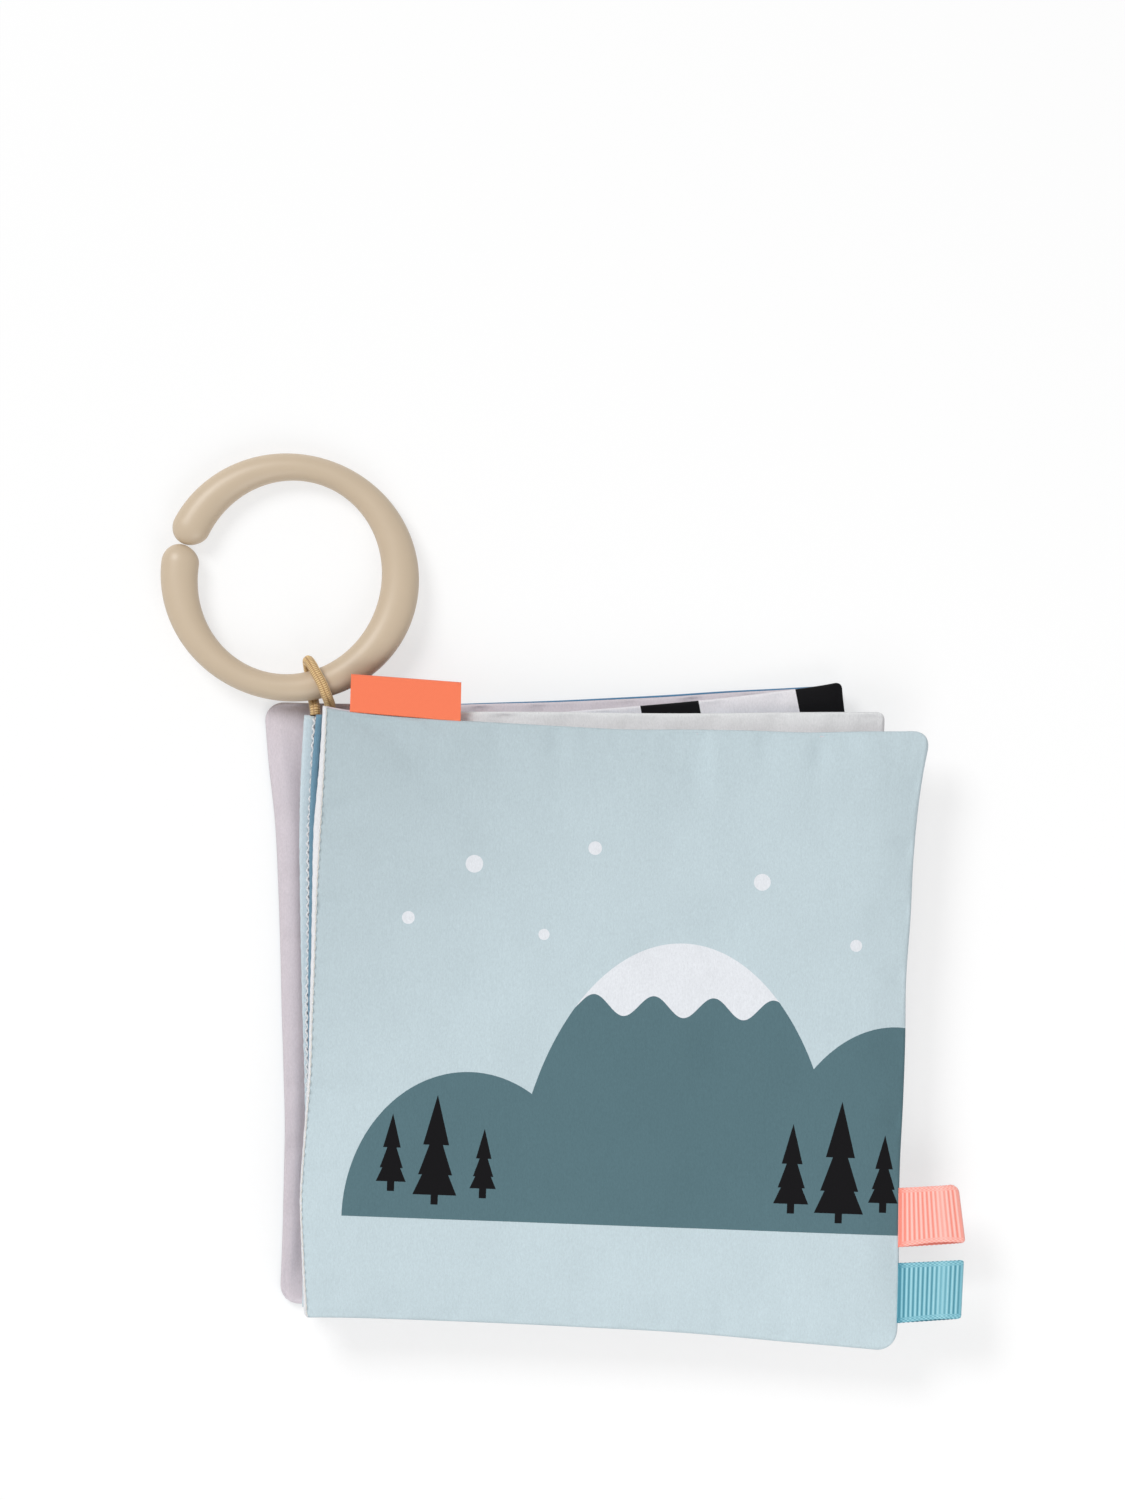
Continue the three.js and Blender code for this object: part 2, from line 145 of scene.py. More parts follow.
FRONT = leaf_plan(
    "front_cover", 3, (-60.2, 48.9), 152.1, -2.56, 153.1, -1.62, -3.0, -2.91,
    radii=(0.0, 4.7, 5.4, 1.6), draws=(2.3, 2.2, 1.1, 0.0), top_bias=0.72,
    edging=(0.95, 1.25, 1.65, 1.15, 0.9, 0.7, 0.55, 0.4, 0.35, 0.4, 0.7),
    spine_wander=(0.7, 0.15, -0.75, -0.68, -0.5, -0.48, -0.42, -1.05, -1.6, -0.7, 0.35),
    top_wander=(0.1, -0.1, 0.0, 0.1, 0.0, -0.2, 0.2, 0.3, 0.05, 0.4, 0.2),
    fore_wander=(0.5, -0.5, -0.7, -0.3, -0.4, 0.2, 0.3, 0.0, 0.0, 0.1, -0.5),
    foot_wander=(0.1, 0.1, 0.1, 0.15, 0.2, 0.25, 0.35, 0.15, -0.25, -0.5, -0.75), ear=0.65,
    peek=(0.4, 0.15, 0.0, 0.0, 0.0, 0.0, 0.0, 0.0, 0.0, 0.0, 0.0), seed=5.2,
    tucks=(
        (13.0, 0.9, 5.0, 22.0, 1.1), (89.0, 0.1, 5.0, 22.0, 0.8), (94.5, 0.0, 1.6, 15.0, 1.2),
        (125.5, -0.1, 1.5, 12.0, 1.2), (131.0, -0.3, 4.0, 18.0, 0.8), (58.0, 0.1, 2.4, 16.0, 0.7)),
    spine_tucks=((27.3, -0.5, 2.4, 15.0, 1.1), (50.6, -0.3, 2.0, 10.0, 0.9), (96.0, 0.2, 2.4, 12.0, 0.8)))


def packed_shift():
    """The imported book's middle, seen from the point that the plans are measured from."""
    joints = {joint["name"]: joint for joint in frame["record"]["behaviour"]["joints"]}
    hinge = joints["front_cover_turn"]["pos_m"]
    return np.array([hinge[0] / MM - FRONT.head[0], hinge[1] / MM - FRONT.head[1], 0.0])


SHIFT = packed_shift()

# How a leaf is padded. A run is the distance from a seam over which something comes to its full size.

LEAF_THICKNESS = 4.2
LEAF_PITCH = 4.5
SEAM_HALF = 0.75
PILLOW_RUN = 18.0
TURN_RADIUS = 0.8
UNDER_EDGING = 0.15
RAISED_SPINE = 0.3
PLATEAU = 0.84
WADDING_LEAST = 0.7
WADDING_RUN = 3.0
COVER_CROWN = 0.45
TABLE_GAP = 0.02
BACK_FLAT_CUT = 0.9
FREE_RUN = 1.2
SWELL_RUN = 14.0
PEEK_REACH = 3.0
BACK_SIDE_SEED = 5.3
SIDEWAYS_SHARE = 0.08

LIP_WIDTHS = (9.0, 5.9)
LIP = sum(LIP_WIDTHS) / 2
LIP_RUN = 5.0
CREASE_RUN = 2.4
CREASE_SHARE = 0.92
CREASE_PRESS = 1.1
CREASE_PRESS_RUN = 3.4
CREASE_FADE = 0.4

WANDER_FADE = 6
BOW_FADE = 3
EAR_REACH = 5.0
SWELL_COUNT = 7
LONGEST_SWELL = 58.0
SWELL_STEP = 0.42
SWELL_TURN = 2.4
RELIEF_SUM = 2.3
WAVES = ((0.5, 0.37, 1.0), (0.3, 0.83, 2.1), (0.2, 1.71, 0.7))
PUCKER_REACH = 7.0
PUCKER_START = 0.9
PUCKER_OUT = 0.2
CEILING_SOFTNESS = 0.18
RIDGE_SHARE = 0.45
RIDGE_AWAY = 1.7
TUCK_START = 1.5
SEAM_LINES = np.array((0.0, 0.25, 0.6, 1.1, 2.0, 3.4))


def middle_of(leaf):
    if leaf is BACK:
        return LEAF_THICKNESS - (LEAF_THICKNESS + BACK_FLAT_CUT) / 2
    return leaf.level * LEAF_PITCH + LEAF_THICKNESS / 2


def bow(share):
    return 4 * share * (1 - share)


def strayed(wander, share):
    """A smooth curve through values at even shares."""
    places = np.asarray(share, float) * (len(wander) - 1)
    values = np.asarray(wander, float)
    values = np.concatenate([[2 * values[0] - values[1]], values, [2 * values[-1] - values[-2]]])
    first = np.clip(np.floor(places), 0, len(wander) - 2).astype(int)
    t = places - first
    a, b, c, d = (values[first + k] for k in range(4))
    return b + 0.5 * t * (c - a + t * (2 * a - 5 * b + 4 * c - d + t * (3 * (b - c) + d - a)))


def plan(leaf, x, y):
    """The place on the table of points x along a leaf's top seam and y down its spine."""
    width, height = leaf.width, leaf.spine_height
    x, y = (axis.astype(float) for axis in np.broadcast_arrays(x, y))
    for number, radius in enumerate(leaf.radii):
        from_right, from_foot = number in (1, 2), number > 1
        if radius == 0:
            continue
        u = width - x if from_right else x
        v = height - y if from_foot else y
        near = (u < radius) & (v < radius)
        p, q = 1 - u / radius, 1 - v / radius
        round_u = radius * (1 - p * np.sqrt(np.maximum(1 - q * q / 2, 0)))
        round_v = radius * (1 - q * np.sqrt(np.maximum(1 - p * p / 2, 0)))
        x = np.where(near, width - round_u if from_right else round_u, x)
        y = np.where(near, height - round_v if from_foot else round_v, y)
    head = np.array(leaf.head)
    foot = head + height * direction(leaf.spine_lean - 90)
    head_right = head + width * direction(leaf.top_turn)
    foot_right_point = foot + (width + leaf.foot_flare) * direction(leaf.bottom_turn)
    s, t = np.clip(x / width, 0, 1), np.clip(y / height, 0, 1)
    top = head + s[..., None] * (head_right - head)
    bottom = foot + s[..., None] * (foot_right_point - foot)
    place = top + t[..., None] * (bottom - top)
    draw_top, draw_right, draw_foot, draw_left = leaf.draws
    place[..., 1] += bow(s ** leaf.top_bias) * (draw_foot * t ** BOW_FADE - draw_top * (1 - t) ** BOW_FADE)
    place[..., 0] += bow(t) * (draw_left * (1 - s) ** BOW_FADE - draw_right * s ** BOW_FADE)
    for axis, wander, along, near in (
        (0, leaf.spine_wander, t, 1 - s), (0, leaf.fore_wander, t, s),
        (1, leaf.top_wander, s, 1 - t), (1, leaf.foot_wander, s, t),
    ):
        place[..., axis] += strayed(wander, along) * near ** WANDER_FADE
    pull = leaf.ear * np.exp(-np.hypot(width - x, y) / EAR_REACH)
    place[..., 0] += pull
    place[..., 1] += pull
    return place


def swell(distance, run=PILLOW_RUN):
    return 1 - (1 - np.clip(distance / run, 0, 1)) ** 2


def turned(distance):
    """How far a turned edge has rounded up from its seam."""
    share = np.clip(distance / TURN_RADIUS, 0, 1)
    return np.sqrt(1 - (1 - share) ** 2)


def fabric_x(leaf, x, y):
    """Where a leaf's fabric point lies along the top seam, beside its edging or across its lip."""
    t = y / leaf.spine_height
    if leaf is BACK:
        here = lerp(*LIP_WIDTHS, t)
        beyond = here + (x - LIP) * (leaf.width - here) / (leaf.width - LIP)
        return np.where(x <= LIP, x * here / LIP, beyond)
    inset = strayed(leaf.edging, t) - UNDER_EDGING
    return inset + x * (leaf.width - inset) / leaf.width


def half_thickness(leaf, x, y):
    """Half a leaf's thickness: thin at its seams and full where the pillow's run ends."""
    width, height = leaf.width, leaf.spine_height
    ends = swell(np.minimum(y, height - y))
    if leaf is BACK:
        crease = 1 - CREASE_SHARE * bell(x - LIP, CREASE_RUN)
        full = (LEAF_THICKNESS + BACK_FLAT_CUT) / 2
        half = lerp(SEAM_HALF, full, swell(x, LIP_RUN) * swell(width - x) * ends * crease)
    else:
        half = lerp(SEAM_HALF, LEAF_THICKNESS / 2, swell(np.minimum(x, width - x)) * ends)
    spine = x if leaf is BACK else x + RAISED_SPINE
    edge = np.minimum(np.minimum(spine, width - x), np.minimum(y, height - y))
    return half * turned(edge)


def wave(share, seed):
    """A slow, uneven wave along a seam, from -1 to 1."""
    return sum(height * np.sin(share * speed + shift * seed) for height, speed, shift in WAVES)


def relief(x, y, seed):
    """Slow swells that cross each other at all angles, from about -1 to 1."""
    total = 0
    for number in range(SWELL_COUNT):
        size = LONGEST_SWELL / (1 + SWELL_STEP * number)
        turn = seed + SWELL_TURN * number
        along = x * math.cos(turn) + y * math.sin(turn)
        total = total + (size / LONGEST_SWELL) ** 1.1 * np.sin(2 * math.pi * along / size + 3.1 * turn)
    return total / RELIEF_SUM


def puckers(leaf, x, y, seed):
    """How far the fabric is drawn in beside its seams, as a share of the deepest pucker."""
    width, height = leaf.width, leaf.spine_height
    total = 0
    for number, (away, along) in enumerate(((y, x), (height - y, x), (x, y), (width - x, y))):
        reach = np.exp(-away / PUCKER_REACH) * (1 - np.exp(-away / PUCKER_START))
        total = total + reach * np.maximum(wave(along, seed + 1.9 * number), -PUCKER_OUT)
    return total


def tuck(x, y, along, slant, width, reach, depth):
    """A valley that runs in from a seam at y = 0, with a lower ridge beside it."""
    across = (x - along - slant * y) / (width * (1 + y / reach))
    fold = bell(across) - RIDGE_SHARE * bell(across - RIDGE_AWAY)
    return depth * fold * bell(y, reach) * (1 - np.exp(-y / TUCK_START))


def held_under(height, ceiling):
    """Heights bent over softly so that they stay under a ceiling."""
    return ceiling - CEILING_SOFTNESS * np.logaddexp(0, (ceiling - height) / CEILING_SOFTNESS)


def lines_along(length, step):
    """Grid lines across a leaf, close together beside the seams."""
    steps = max(2, round((length - 2 * SEAM_LINES[-1]) / step))
    inner = np.linspace(SEAM_LINES[-1], length - SEAM_LINES[-1], steps + 1)
    return np.concatenate([SEAM_LINES[:-1], inner, (length - SEAM_LINES[:-1])[::-1]])


# Materials

def operation(name):
    """A method that adds a Math node to the tree of the value that it is called on."""
    def applied(self, *others):
        return self.tree.add("ShaderNodeMath", {"operation": name}, dict(enumerate((self, *others))))
    return applied


class Value:
    """A shader socket in an expression: arithmetic on it adds Math nodes."""

    def __init__(self, tree, socket):
        self.tree, self.socket = tree, socket

    def __rsub__(self, other):
        return self.tree.add("ShaderNodeMath", {"operation": "SUBTRACT"}, {0: other, 1: self})

    __add__ = __radd__ = operation("ADD")
    __sub__ = operation("SUBTRACT")
    __mul__ = __rmul__ = operation("MULTIPLY")
    __truediv__ = operation("DIVIDE")
    __mod__ = operation("FLOORED_MODULO")
    __lt__ = operation("LESS_THAN")
    __gt__ = operation("GREATER_THAN")
    __abs__ = operation("ABSOLUTE")
    sine = operation("SINE")
    either = operation("MAXIMUM")
    both = operation("MINIMUM")


class Tree:
    """The nodes of a material or a world."""

    def __init__(self, owner):
        owner.use_nodes = True
        self.nodes, self.links = owner.node_tree.nodes, owner.node_tree.links

    def add(self, kind, settings=None, inputs=None, output=0):
        node = self.nodes.new(kind)
        for key, value in (settings or {}).items():
            setattr(node, key, value)
        for key, value in (inputs or {}).items():
            if isinstance(value, Value):
                self.links.new(value.socket, node.inputs[key])
            else:
                node.inputs[key].default_value = value
        return Value(self, node.outputs[output])

    def shown(self, output, shaders, share):
        """Links a mix of two shaders to the tree's output."""
        mixed = self.add("ShaderNodeMixShader", inputs={0: share, 1: shaders[0], 2: shaders[1]})
        self.links.new(mixed.socket, self.nodes[output].inputs["Surface"])


class Finish(Tree):
    """A material with a Principled shader, and the few patterns that the fabrics share."""

    def __init__(self, name, roughness, **constants):
        self.material = bpy.data.materials.new(name)
        super().__init__(self.material)
        self.shader = self.nodes["Principled BSDF"]
        self.shader.inputs["Roughness"].default_value = roughness
        for socket, value in constants.items():
            self.shader.inputs[socket.replace("_", " ")].default_value = value

    def feed(self, socket, value):
        self.links.new(value.socket, self.shader.inputs[socket])

    def place(self):
        """The object's own coordinates, in millimetres."""
        here = self.add("ShaderNodeTexCoord", output="Object")
        return self.add("ShaderNodeVectorMath", {"operation": "SCALE"}, {0: here, "Scale": 1 / MM})

    def axes(self, vector):
        node = self.nodes.new("ShaderNodeSeparateXYZ")
        self.links.new(vector.socket, node.inputs[0])
        return [Value(self, output) for output in node.outputs]

    def noise(self, vector, size, stretch=(1, 1, 1), detail=2.0, roughness=0.5):
        """Noise from 0 to 1 whose grains are about size millimetres."""
        grain = tuple(1 / (size * s) for s in stretch)
        scaled = self.add("ShaderNodeVectorMath", {"operation": "MULTIPLY"}, {0: vector, 1: grain})
        inputs = {"Vector": scaled, "Scale": 1.0, "Detail": detail, "Roughness": roughness}
        return self.add("ShaderNodeTexNoise", inputs=inputs)

    def mix(self, a, b, share):
        inputs = {0: share, 6: a if isinstance(a, Value) else rgba(a), 7: rgba(b)}
        return self.add("ShaderNodeMix", {"data_type": "RGBA", "clamp_factor": True}, inputs, 2)

    def tinted(self, colour, strength):
        """A colour made lighter or darker by a value around 1."""
        return self.add("ShaderNodeVectorMath", {"operation": "SCALE"}, {0: colour, "Scale": strength})

    def finished(self, colour, strength, height, distance, bump):
        """The material, with its tinted colour over a bump of a height pattern."""
        self.feed("Base Color", self.tinted(colour, strength))
        inputs = {"Strength": bump, "Distance": distance * MM, "Height": height}
        self.feed("Normal", self.add("ShaderNodeBump", inputs=inputs))
        return self.material


def ellipse(x, y, centre, radii):
    """1 inside an ellipse and 0 outside it."""
    u, v = (x - centre[0]) / radii[0], (y - centre[1]) / radii[1]
    return (u * u + v * v) < 1.0


def leaf_axes(finish, leaf):
    """Distances right and down from a leaf's head, turned with the leaf."""
    x, y, _ = finish.axes(finish.place())
    head = np.array(leaf.head) + SHIFT[:2]
    turn = math.radians((leaf.top_turn + leaf.spine_lean) / 2)
    right, up, cos, sin = x - head[0], y - head[1], math.cos(turn), math.sin(turn)
    return right * cos + up * sin, right * sin - up * cos


def woven(name, colour, printed=None, leaf=None):
    """Brushed cotton: a fine weave, a faint vertical grain, and a print where there is one."""
    sizes = bpy.context.scene.soft_book_sizes
    finish = Finish(name, 0.9, Sheen_Weight=0.12, Sheen_Roughness=0.45, Specular_IOR_Level=0.2)
    place = finish.place()
    x, y, _ = finish.axes(place)
    base = printed(finish, leaf, colour) if printed else colour
    grain = finish.noise(place, 0.5, (0.7, 1.6, 1), 3.0, 0.7)
    streak = finish.noise(place, 0.6, (1, 9, 1))
    cloud = finish.noise(place, 17.0)
    strength = 1 + 0.32 * (grain - 0.5) + 0.06 * (streak - 0.5) + 0.06 * (cloud - 0.5)
    pitch = 2 * math.pi / (sizes.weave_pitch / MM)
    threads = (x * pitch).sine() * (y * pitch).sine()
    return finish.finished(base, strength, 0.15 * threads + grain * 1.5, 0.06, 0.7)


# The prints, in millimetres right and down from a leaf's head. A hill is its middle and its half sizes, a fir
# its middle, foot and height, a tier how far down the fir it ends and how fast it spreads, and a star its
# place and radius.

FOOT_LINE = 127.0
HILLS = (((41, FOOT_LINE), (31, 37)), ((93, FOOT_LINE), (41, 71)), ((147, FOOT_LINE), (33, 52)))
SNOWY_HILL = HILLS[1]
SNOW_LINE = 72.0
FIRS = ((22, 118, 17), (33, 121, 25), (45, 119, 15), (122, 120, 20), (134, 122, 28), (145, 119, 17))
TIERS = ((0.5, 0.26), (0.8, 0.34), (1.0, 0.44))
TRUNK_HALF, TRUNK_REACH = 0.9, 2.4
STARS = ((24, 52, 1.6), (40, 38, 2.2), (58, 55, 1.4), (70, 33, 1.7), (112, 40, 2.1), (136, 55, 1.5))
BAR_START, BAR_SLANT, BAR_PITCH, BAR_GAP = 99.4, 0.16, 39.4, 24.65
DOT_SPACING, DOT_RADIUS, DOTS_BELOW = 22.0, 5.0, 11.0


def united(masks):
    """1 wherever any of the masks is."""
    whole = masks[0]
    for mask in masks[1:]:
        whole = whole.either(mask)
    return whole


def fir(x, y, middle, foot, height):
    """A fir's mask: three tiers that widen downwards, on a short trunk."""
    away, down = abs(x - middle), y - (foot - height)
    tiers = [
        (away < (down - height * (share - 0.5)) * spread).both(down < height * share)
        for share, spread in TIERS
    ]
    return united([*tiers, (away < TRUNK_HALF).both(abs(y - foot) < TRUNK_REACH)])


def mountain_print(finish, leaf, sky):
    """Rounded mountains with snow on the highest, a few firs, and stars, running off the fore edge."""
    colours = bpy.context.scene.soft_book_colours
    x, y = leaf_axes(finish, leaf)
    land = united([ellipse(x, y, *hill) for hill in HILLS]).both(y < FOOT_LINE)
    snow = ellipse(x, y, *SNOWY_HILL).both(y < SNOW_LINE + (x * 0.42).sine() * 2.6)
    firs = united([fir(x, y, *place) for place in FIRS])
    stars = united([ellipse(x, y, (right, down), (radius, radius)) for right, down, radius in STARS])
    # The sky is painted darker towards the top left and lighter towards the foot: painted shade for how the
    # light falls on the cover.
    sky = finish.tinted(sky, (0.81 + (x + y) * 0.0015).both(0.975) + y * 0.00015)
    base = finish.mix(sky, colours.slate, land)
    base = finish.mix(base, colours.print_white, snow.either(stars))
    return finish.mix(base, colours.near_black, firs)


def bar_print(finish, leaf, ground):
    """Broad black bars across a white page."""
    x, y = leaf_axes(finish, leaf)
    bars = ((x - BAR_START - BAR_SLANT * y) % BAR_PITCH) > BAR_GAP
    return finish.mix(ground, bpy.context.scene.soft_book_colours.near_black, bars)


def dotted(spot):
    """A print of round dots in offset rows, below a plain strip at the top."""
    def printed(finish, leaf, ground):
        x, y = leaf_axes(finish, leaf)
        masks = []
        for shift in (0.0, 0.5):
            u = ((x + DOT_SPACING * shift) % DOT_SPACING) - DOT_SPACING / 2
            v = ((y + DOT_SPACING * (shift + 0.25)) % DOT_SPACING) - DOT_SPACING / 2
            masks.append((u * u + v * v) < DOT_RADIUS * DOT_RADIUS)
        return finish.mix(ground, spot, united(masks).both(y > DOTS_BELOW))
    return printed


def ribbed_finish(name, colour, shade, light, roughness=0.55):
    """A ribbed tape or cord whose grooves are darker with painted shade and whose crests are lighter with a
    painted highlight, by the depth that its mesh carries.
    """
    finish = Finish(name, roughness, Sheen_Weight=0.3, Sheen_Roughness=0.4, Specular_IOR_Level=0.35)
    place = finish.place()
    depth = finish.add("ShaderNodeAttribute", {"attribute_name": "rib"}, output="Fac")
    grain = finish.noise(place, 0.25)
    # The rib depth mixes the colour towards painted shade in the grooves and towards a painted highlight on
    # the crests.
    toned = finish.mix(shade, colour, depth * 1.6)
    toned = finish.mix(toned, light, (depth - 0.55) * 1.6)
    return finish.finished(toned, 0.94 + 0.12 * grain, grain, 0.05, 0.5)


def thread_finish(name, colour):
    """Sewing thread: a fine twist along it, bumped and with painted shade and painted highlight along the
    twist.
    """
    finish = Finish(name, 0.7, Sheen_Weight=0.3, Sheen_Roughness=0.5)
    place = finish.place()
    x, y, z = finish.axes(place)
    twist = ((x + y * 1.4 + z) * 16.0).sine()
    grain = finish.noise(place, 0.3)
    # The twist tints the colour: painted shade and highlight along the thread.
    return finish.finished(colour, 0.93 + 0.05 * twist + 0.06 * grain, twist + grain, 0.05, 0.6)


TWILL_PITCH = 0.44


def twill_finish(name, colour):
    """Label tape: a tight diagonal twill with a faint sheen, and painted shade and highlight along its ribs.
    """
    finish = Finish(name, 0.62, Sheen_Weight=0.25, Sheen_Roughness=0.4, Specular_IOR_Level=0.3)
    place = finish.place()
    x, y, _ = finish.axes(place)
    ribs = ((x * 0.8 + y) * (2 * math.pi / TWILL_PITCH)).sine()
    grain = finish.noise(place, 0.4)
    # The twill ribs tint the colour: painted shade and highlight along them.
    return finish.finished(colour, 0.95 + 0.05 * ribs + 0.1 * grain, ribs * 0.4 + grain, 0.06, 0.8)


def plastic_finish(name, colour):
    """Satin plastic with a slightly uneven skin."""
    finish = Finish(name, 0.4, Specular_IOR_Level=0.5)
    place = finish.place()
    haze = finish.noise(place, 9.0)
    speck = finish.noise(place, 0.35)
    finish.feed("Roughness", 0.36 + 0.1 * haze)
    return finish.finished(colour, 0.97 + 0.05 * haze, speck, 0.012, 0.5)


# Meshes

def linked(thing):
    bpy.context.collection.objects.link(thing)
    return thing


def add_piece(name, points, faces, material, body, slot, replaced=(), rib=None):
    """A named piece from points in millimetres, riding on its body."""
    mesh = bpy.data.meshes.new(name)
    mesh.from_pydata(((np.asarray(points) + SHIFT) * MM).tolist(), [], faces)
    mesh.polygons.foreach_set("use_smooth", [True] * len(mesh.polygons))
    if rib is not None:
        mesh.attributes.new("rib", "FLOAT", "POINT").data.foreach_set("value", np.asarray(rib, np.float32))
    mesh.materials.append(material)
    mesh.validate()
    piece = linked(bpy.data.objects.new(name, mesh))
    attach(piece, body)
    if replaced:
        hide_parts(*replaced)
    return piece


def grid_faces(index, flip=False):
    """Quads over a grid of point numbers."""
    a, b, c, d = index[:-1, :-1], index[:-1, 1:], index[1:, 1:], index[1:, :-1]
    order = (a, b, c, d) if flip else (a, d, c, b)
    return np.stack(order, axis=-1).reshape(-1, 4).tolist()


def band_faces(index, flip=True):
    """Quads round a closed band of point numbers, with a cap at either end."""
    sides = grid_faces(np.concatenate([index, index[:, :1]], axis=1), flip)
    first, last = index[0].tolist(), index[-1].tolist()
    caps = [first[::-1], last] if flip else [first, last[::-1]]
    return sides + caps


def halved(values):
    """Values with their midpoints set between them, along the first axis."""
    fuller = np.repeat(values, 2, axis=0)[:-1]
    fuller[1::2] = (values[:-1] + values[1:]) / 2
    return fuller


def pad_points(leaf, fine):
    """A leaf's front and back grids, sharing their seam, coarse for the cloth solver or fine for the mesh."""
    step = bpy.context.scene.soft_book_sizes.grid_step / MM
    across, down = lines_along(leaf.width, step), lines_along(leaf.spine_height, step)
    if fine:
        across, down = halved(across), halved(down)
    x, y = np.meshgrid(across, down)
    half = half_thickness(leaf, x, y)
    place = plan(leaf, fabric_x(leaf, x, y), y)
    middle = middle_of(leaf)
    drawn = np.maximum(strayed(leaf.peek, x / leaf.width), 0) * np.exp(-y / PEEK_REACH)
    front, back = (np.dstack([place, middle + side * half]) for side in (1, -1))
    front[..., 1] -= drawn / 2
    front[..., 2] += drawn / 2
    back[..., 1] += drawn / 2
    return x, y, front, back


CLOTH_FRAMES = 20
CLOTH = {
    "quality": 5, "mass": 0.3, "tension_stiffness": 12.0, "compression_stiffness": 12.0,
    "shear_stiffness": 6.0, "bending_stiffness": 0.4, "use_pressure": True,
    "vertex_group_shrink": "seam", "shrink_max": 0.0,
}


def inflate(leaf):
    """Lets the cloth solver fill the pad, and gives back how far each point of its fine grids moves."""
    sizes = bpy.context.scene.soft_book_sizes
    _, _, front, back = pad_points(leaf, False)
    rows, columns = front.shape[:2]
    count = rows * columns
    front_index = np.arange(count).reshape(rows, columns)
    back_index = front_index.copy()
    back_index[1:-1, 1:-1] = count + np.arange((rows - 2) * (columns - 2)).reshape(rows - 2, columns - 2)
    points = np.concatenate([front.reshape(-1, 3), back[1:-1, 1:-1].reshape(-1, 3)])
    mesh = bpy.data.meshes.new("pad")
    faces = grid_faces(front_index) + grid_faces(back_index, flip=True)
    mesh.from_pydata((points * MM).tolist(), [], faces)
    pad = linked(bpy.data.objects.new("pad", mesh))
    seam = pad.vertex_groups.new(name="seam")
    seam.add(front_index[front_index == back_index].tolist(), 1.0, "REPLACE")
    cloth = pad.modifiers.new("Cloth", "CLOTH")
    settings = cloth.settings
    for name, value in CLOTH.items():
        setattr(settings, name, value)
    settings.uniform_pressure_force = sizes.cloth_pressure
    settings.shrink_min = sizes.seam_shrink
    settings.effector_weights.gravity = 0.0
    cloth.point_cache.frame_start, cloth.point_cache.frame_end = 1, CLOTH_FRAMES
    scene = bpy.context.scene
    for number in range(1, CLOTH_FRAMES + 1):
        scene.frame_set(number)
    moved = pad.evaluated_get(bpy.context.evaluated_depsgraph_get()).data
    found = np.empty(len(points) * 3, np.float32)
    moved.vertices.foreach_get("co", found)
    drift = found.reshape(-1, 3) / MM - points
    scene.frame_set(1)
    bpy.data.objects.remove(pad)
    bpy.data.meshes.remove(mesh)
    reach = np.linalg.norm(drift, axis=1)
    print(f"{leaf.body}: the filled pad moved {reach.mean():.2f} mm, {reach.max():.2f} mm at most")
    return [halved(halved(drift[index]).swapaxes(0, 1)).swapaxes(0, 1) for index in (front_index, back_index)]


def capped(drift, cap):
    """Moves held below a cap, softly, and nearly all in height."""
    size = np.linalg.norm(drift, axis=-1, keepdims=True) + 1e-9
    held = drift * (cap * np.tanh(size / cap) / size)
    return held * np.array([SIDEWAYS_SHARE, SIDEWAYS_SHARE, 1.0])


def dressed(leaf, grid, x, y, side):
    """The heights of one fabric: the filled pad with swells, puckers and tucks, held clear of its wadding."""
    sizes = bpy.context.scene.soft_book_sizes
    middle = middle_of(leaf)
    edge = np.minimum(np.minimum(x, leaf.width - x), np.minimum(y, leaf.spine_height - y))
    free = smooth(edge / FREE_RUN)
    rise = side * (grid[..., 2] - middle) * PLATEAU
    rise = rise + sizes.swell_height / MM * relief(x, y, leaf.seed + side) * smooth(edge / SWELL_RUN)
    rise = rise - sizes.pucker_depth / MM * puckers(leaf, x, y, leaf.seed + BACK_SIDE_SEED * side) * free
    if leaf is BACK and side > 0:
        pressed = CREASE_PRESS * bell(x - LIP, CREASE_PRESS_RUN)
        rise = rise - pressed * (1 - CREASE_FADE * y / leaf.spine_height) * free
    for place in leaf.tucks:
        rise = rise - tuck(x, y, *place) * free
    for place in leaf.spine_tucks:
        rise = rise - tuck(y, x, *place) * free
    rise = np.maximum(rise, WADDING_LEAST * smooth(edge / WADDING_RUN))
    ceiling = LEAF_THICKNESS / 2 + (COVER_CROWN if leaf is FRONT and side > 0 else 0.0)
    heights = middle + side * np.where(edge > 0, held_under(rise, ceiling), rise)
    return np.clip(heights, TABLE_GAP, LEAF_THICKNESS) if leaf is BACK else heights


def pad_leaf(leaf, front_part, back_part, inside):
    """The two fabrics of a leaf, over the solids inside. A part is its name, colour, slot and print."""
    sizes = bpy.context.scene.soft_book_sizes
    x, y, front, back = pad_points(leaf, True)
    front_drift, back_drift = inflate(leaf)
    front = front + capped(front_drift, sizes.cloth_cap / MM)
    back = back + capped(back_drift, sizes.cloth_cap / MM)
    rows, columns = x.shape
    index = np.arange(rows * columns).reshape(rows, columns)
    for grid, side, part, hidden in ((front, 1, front_part, inside), (back, -1, back_part, ())):
        name, colour, slot, printed = part
        grid[..., 2] = dressed(leaf, grid, x, y, side)
        cotton = woven(name.removesuffix("_fabric"), colour, printed, leaf)
        faces = grid_faces(index, flip=side < 0)
        fabric = add_piece(name, grid.reshape(-1, 3), faces, cotton, leaf.body, slot, (name, *hidden))
        wall = fabric.modifiers.new("Wall", "SOLIDIFY")
        wall.thickness = sizes.fabric_thickness
        wall.offset = -1.0


ROUTE_STEPS = 60


def steps_along(points):
    return np.linalg.norm(np.diff(points, axis=0), axis=1)


def summed(steps):
    return np.concatenate([[0], np.cumsum(steps)])


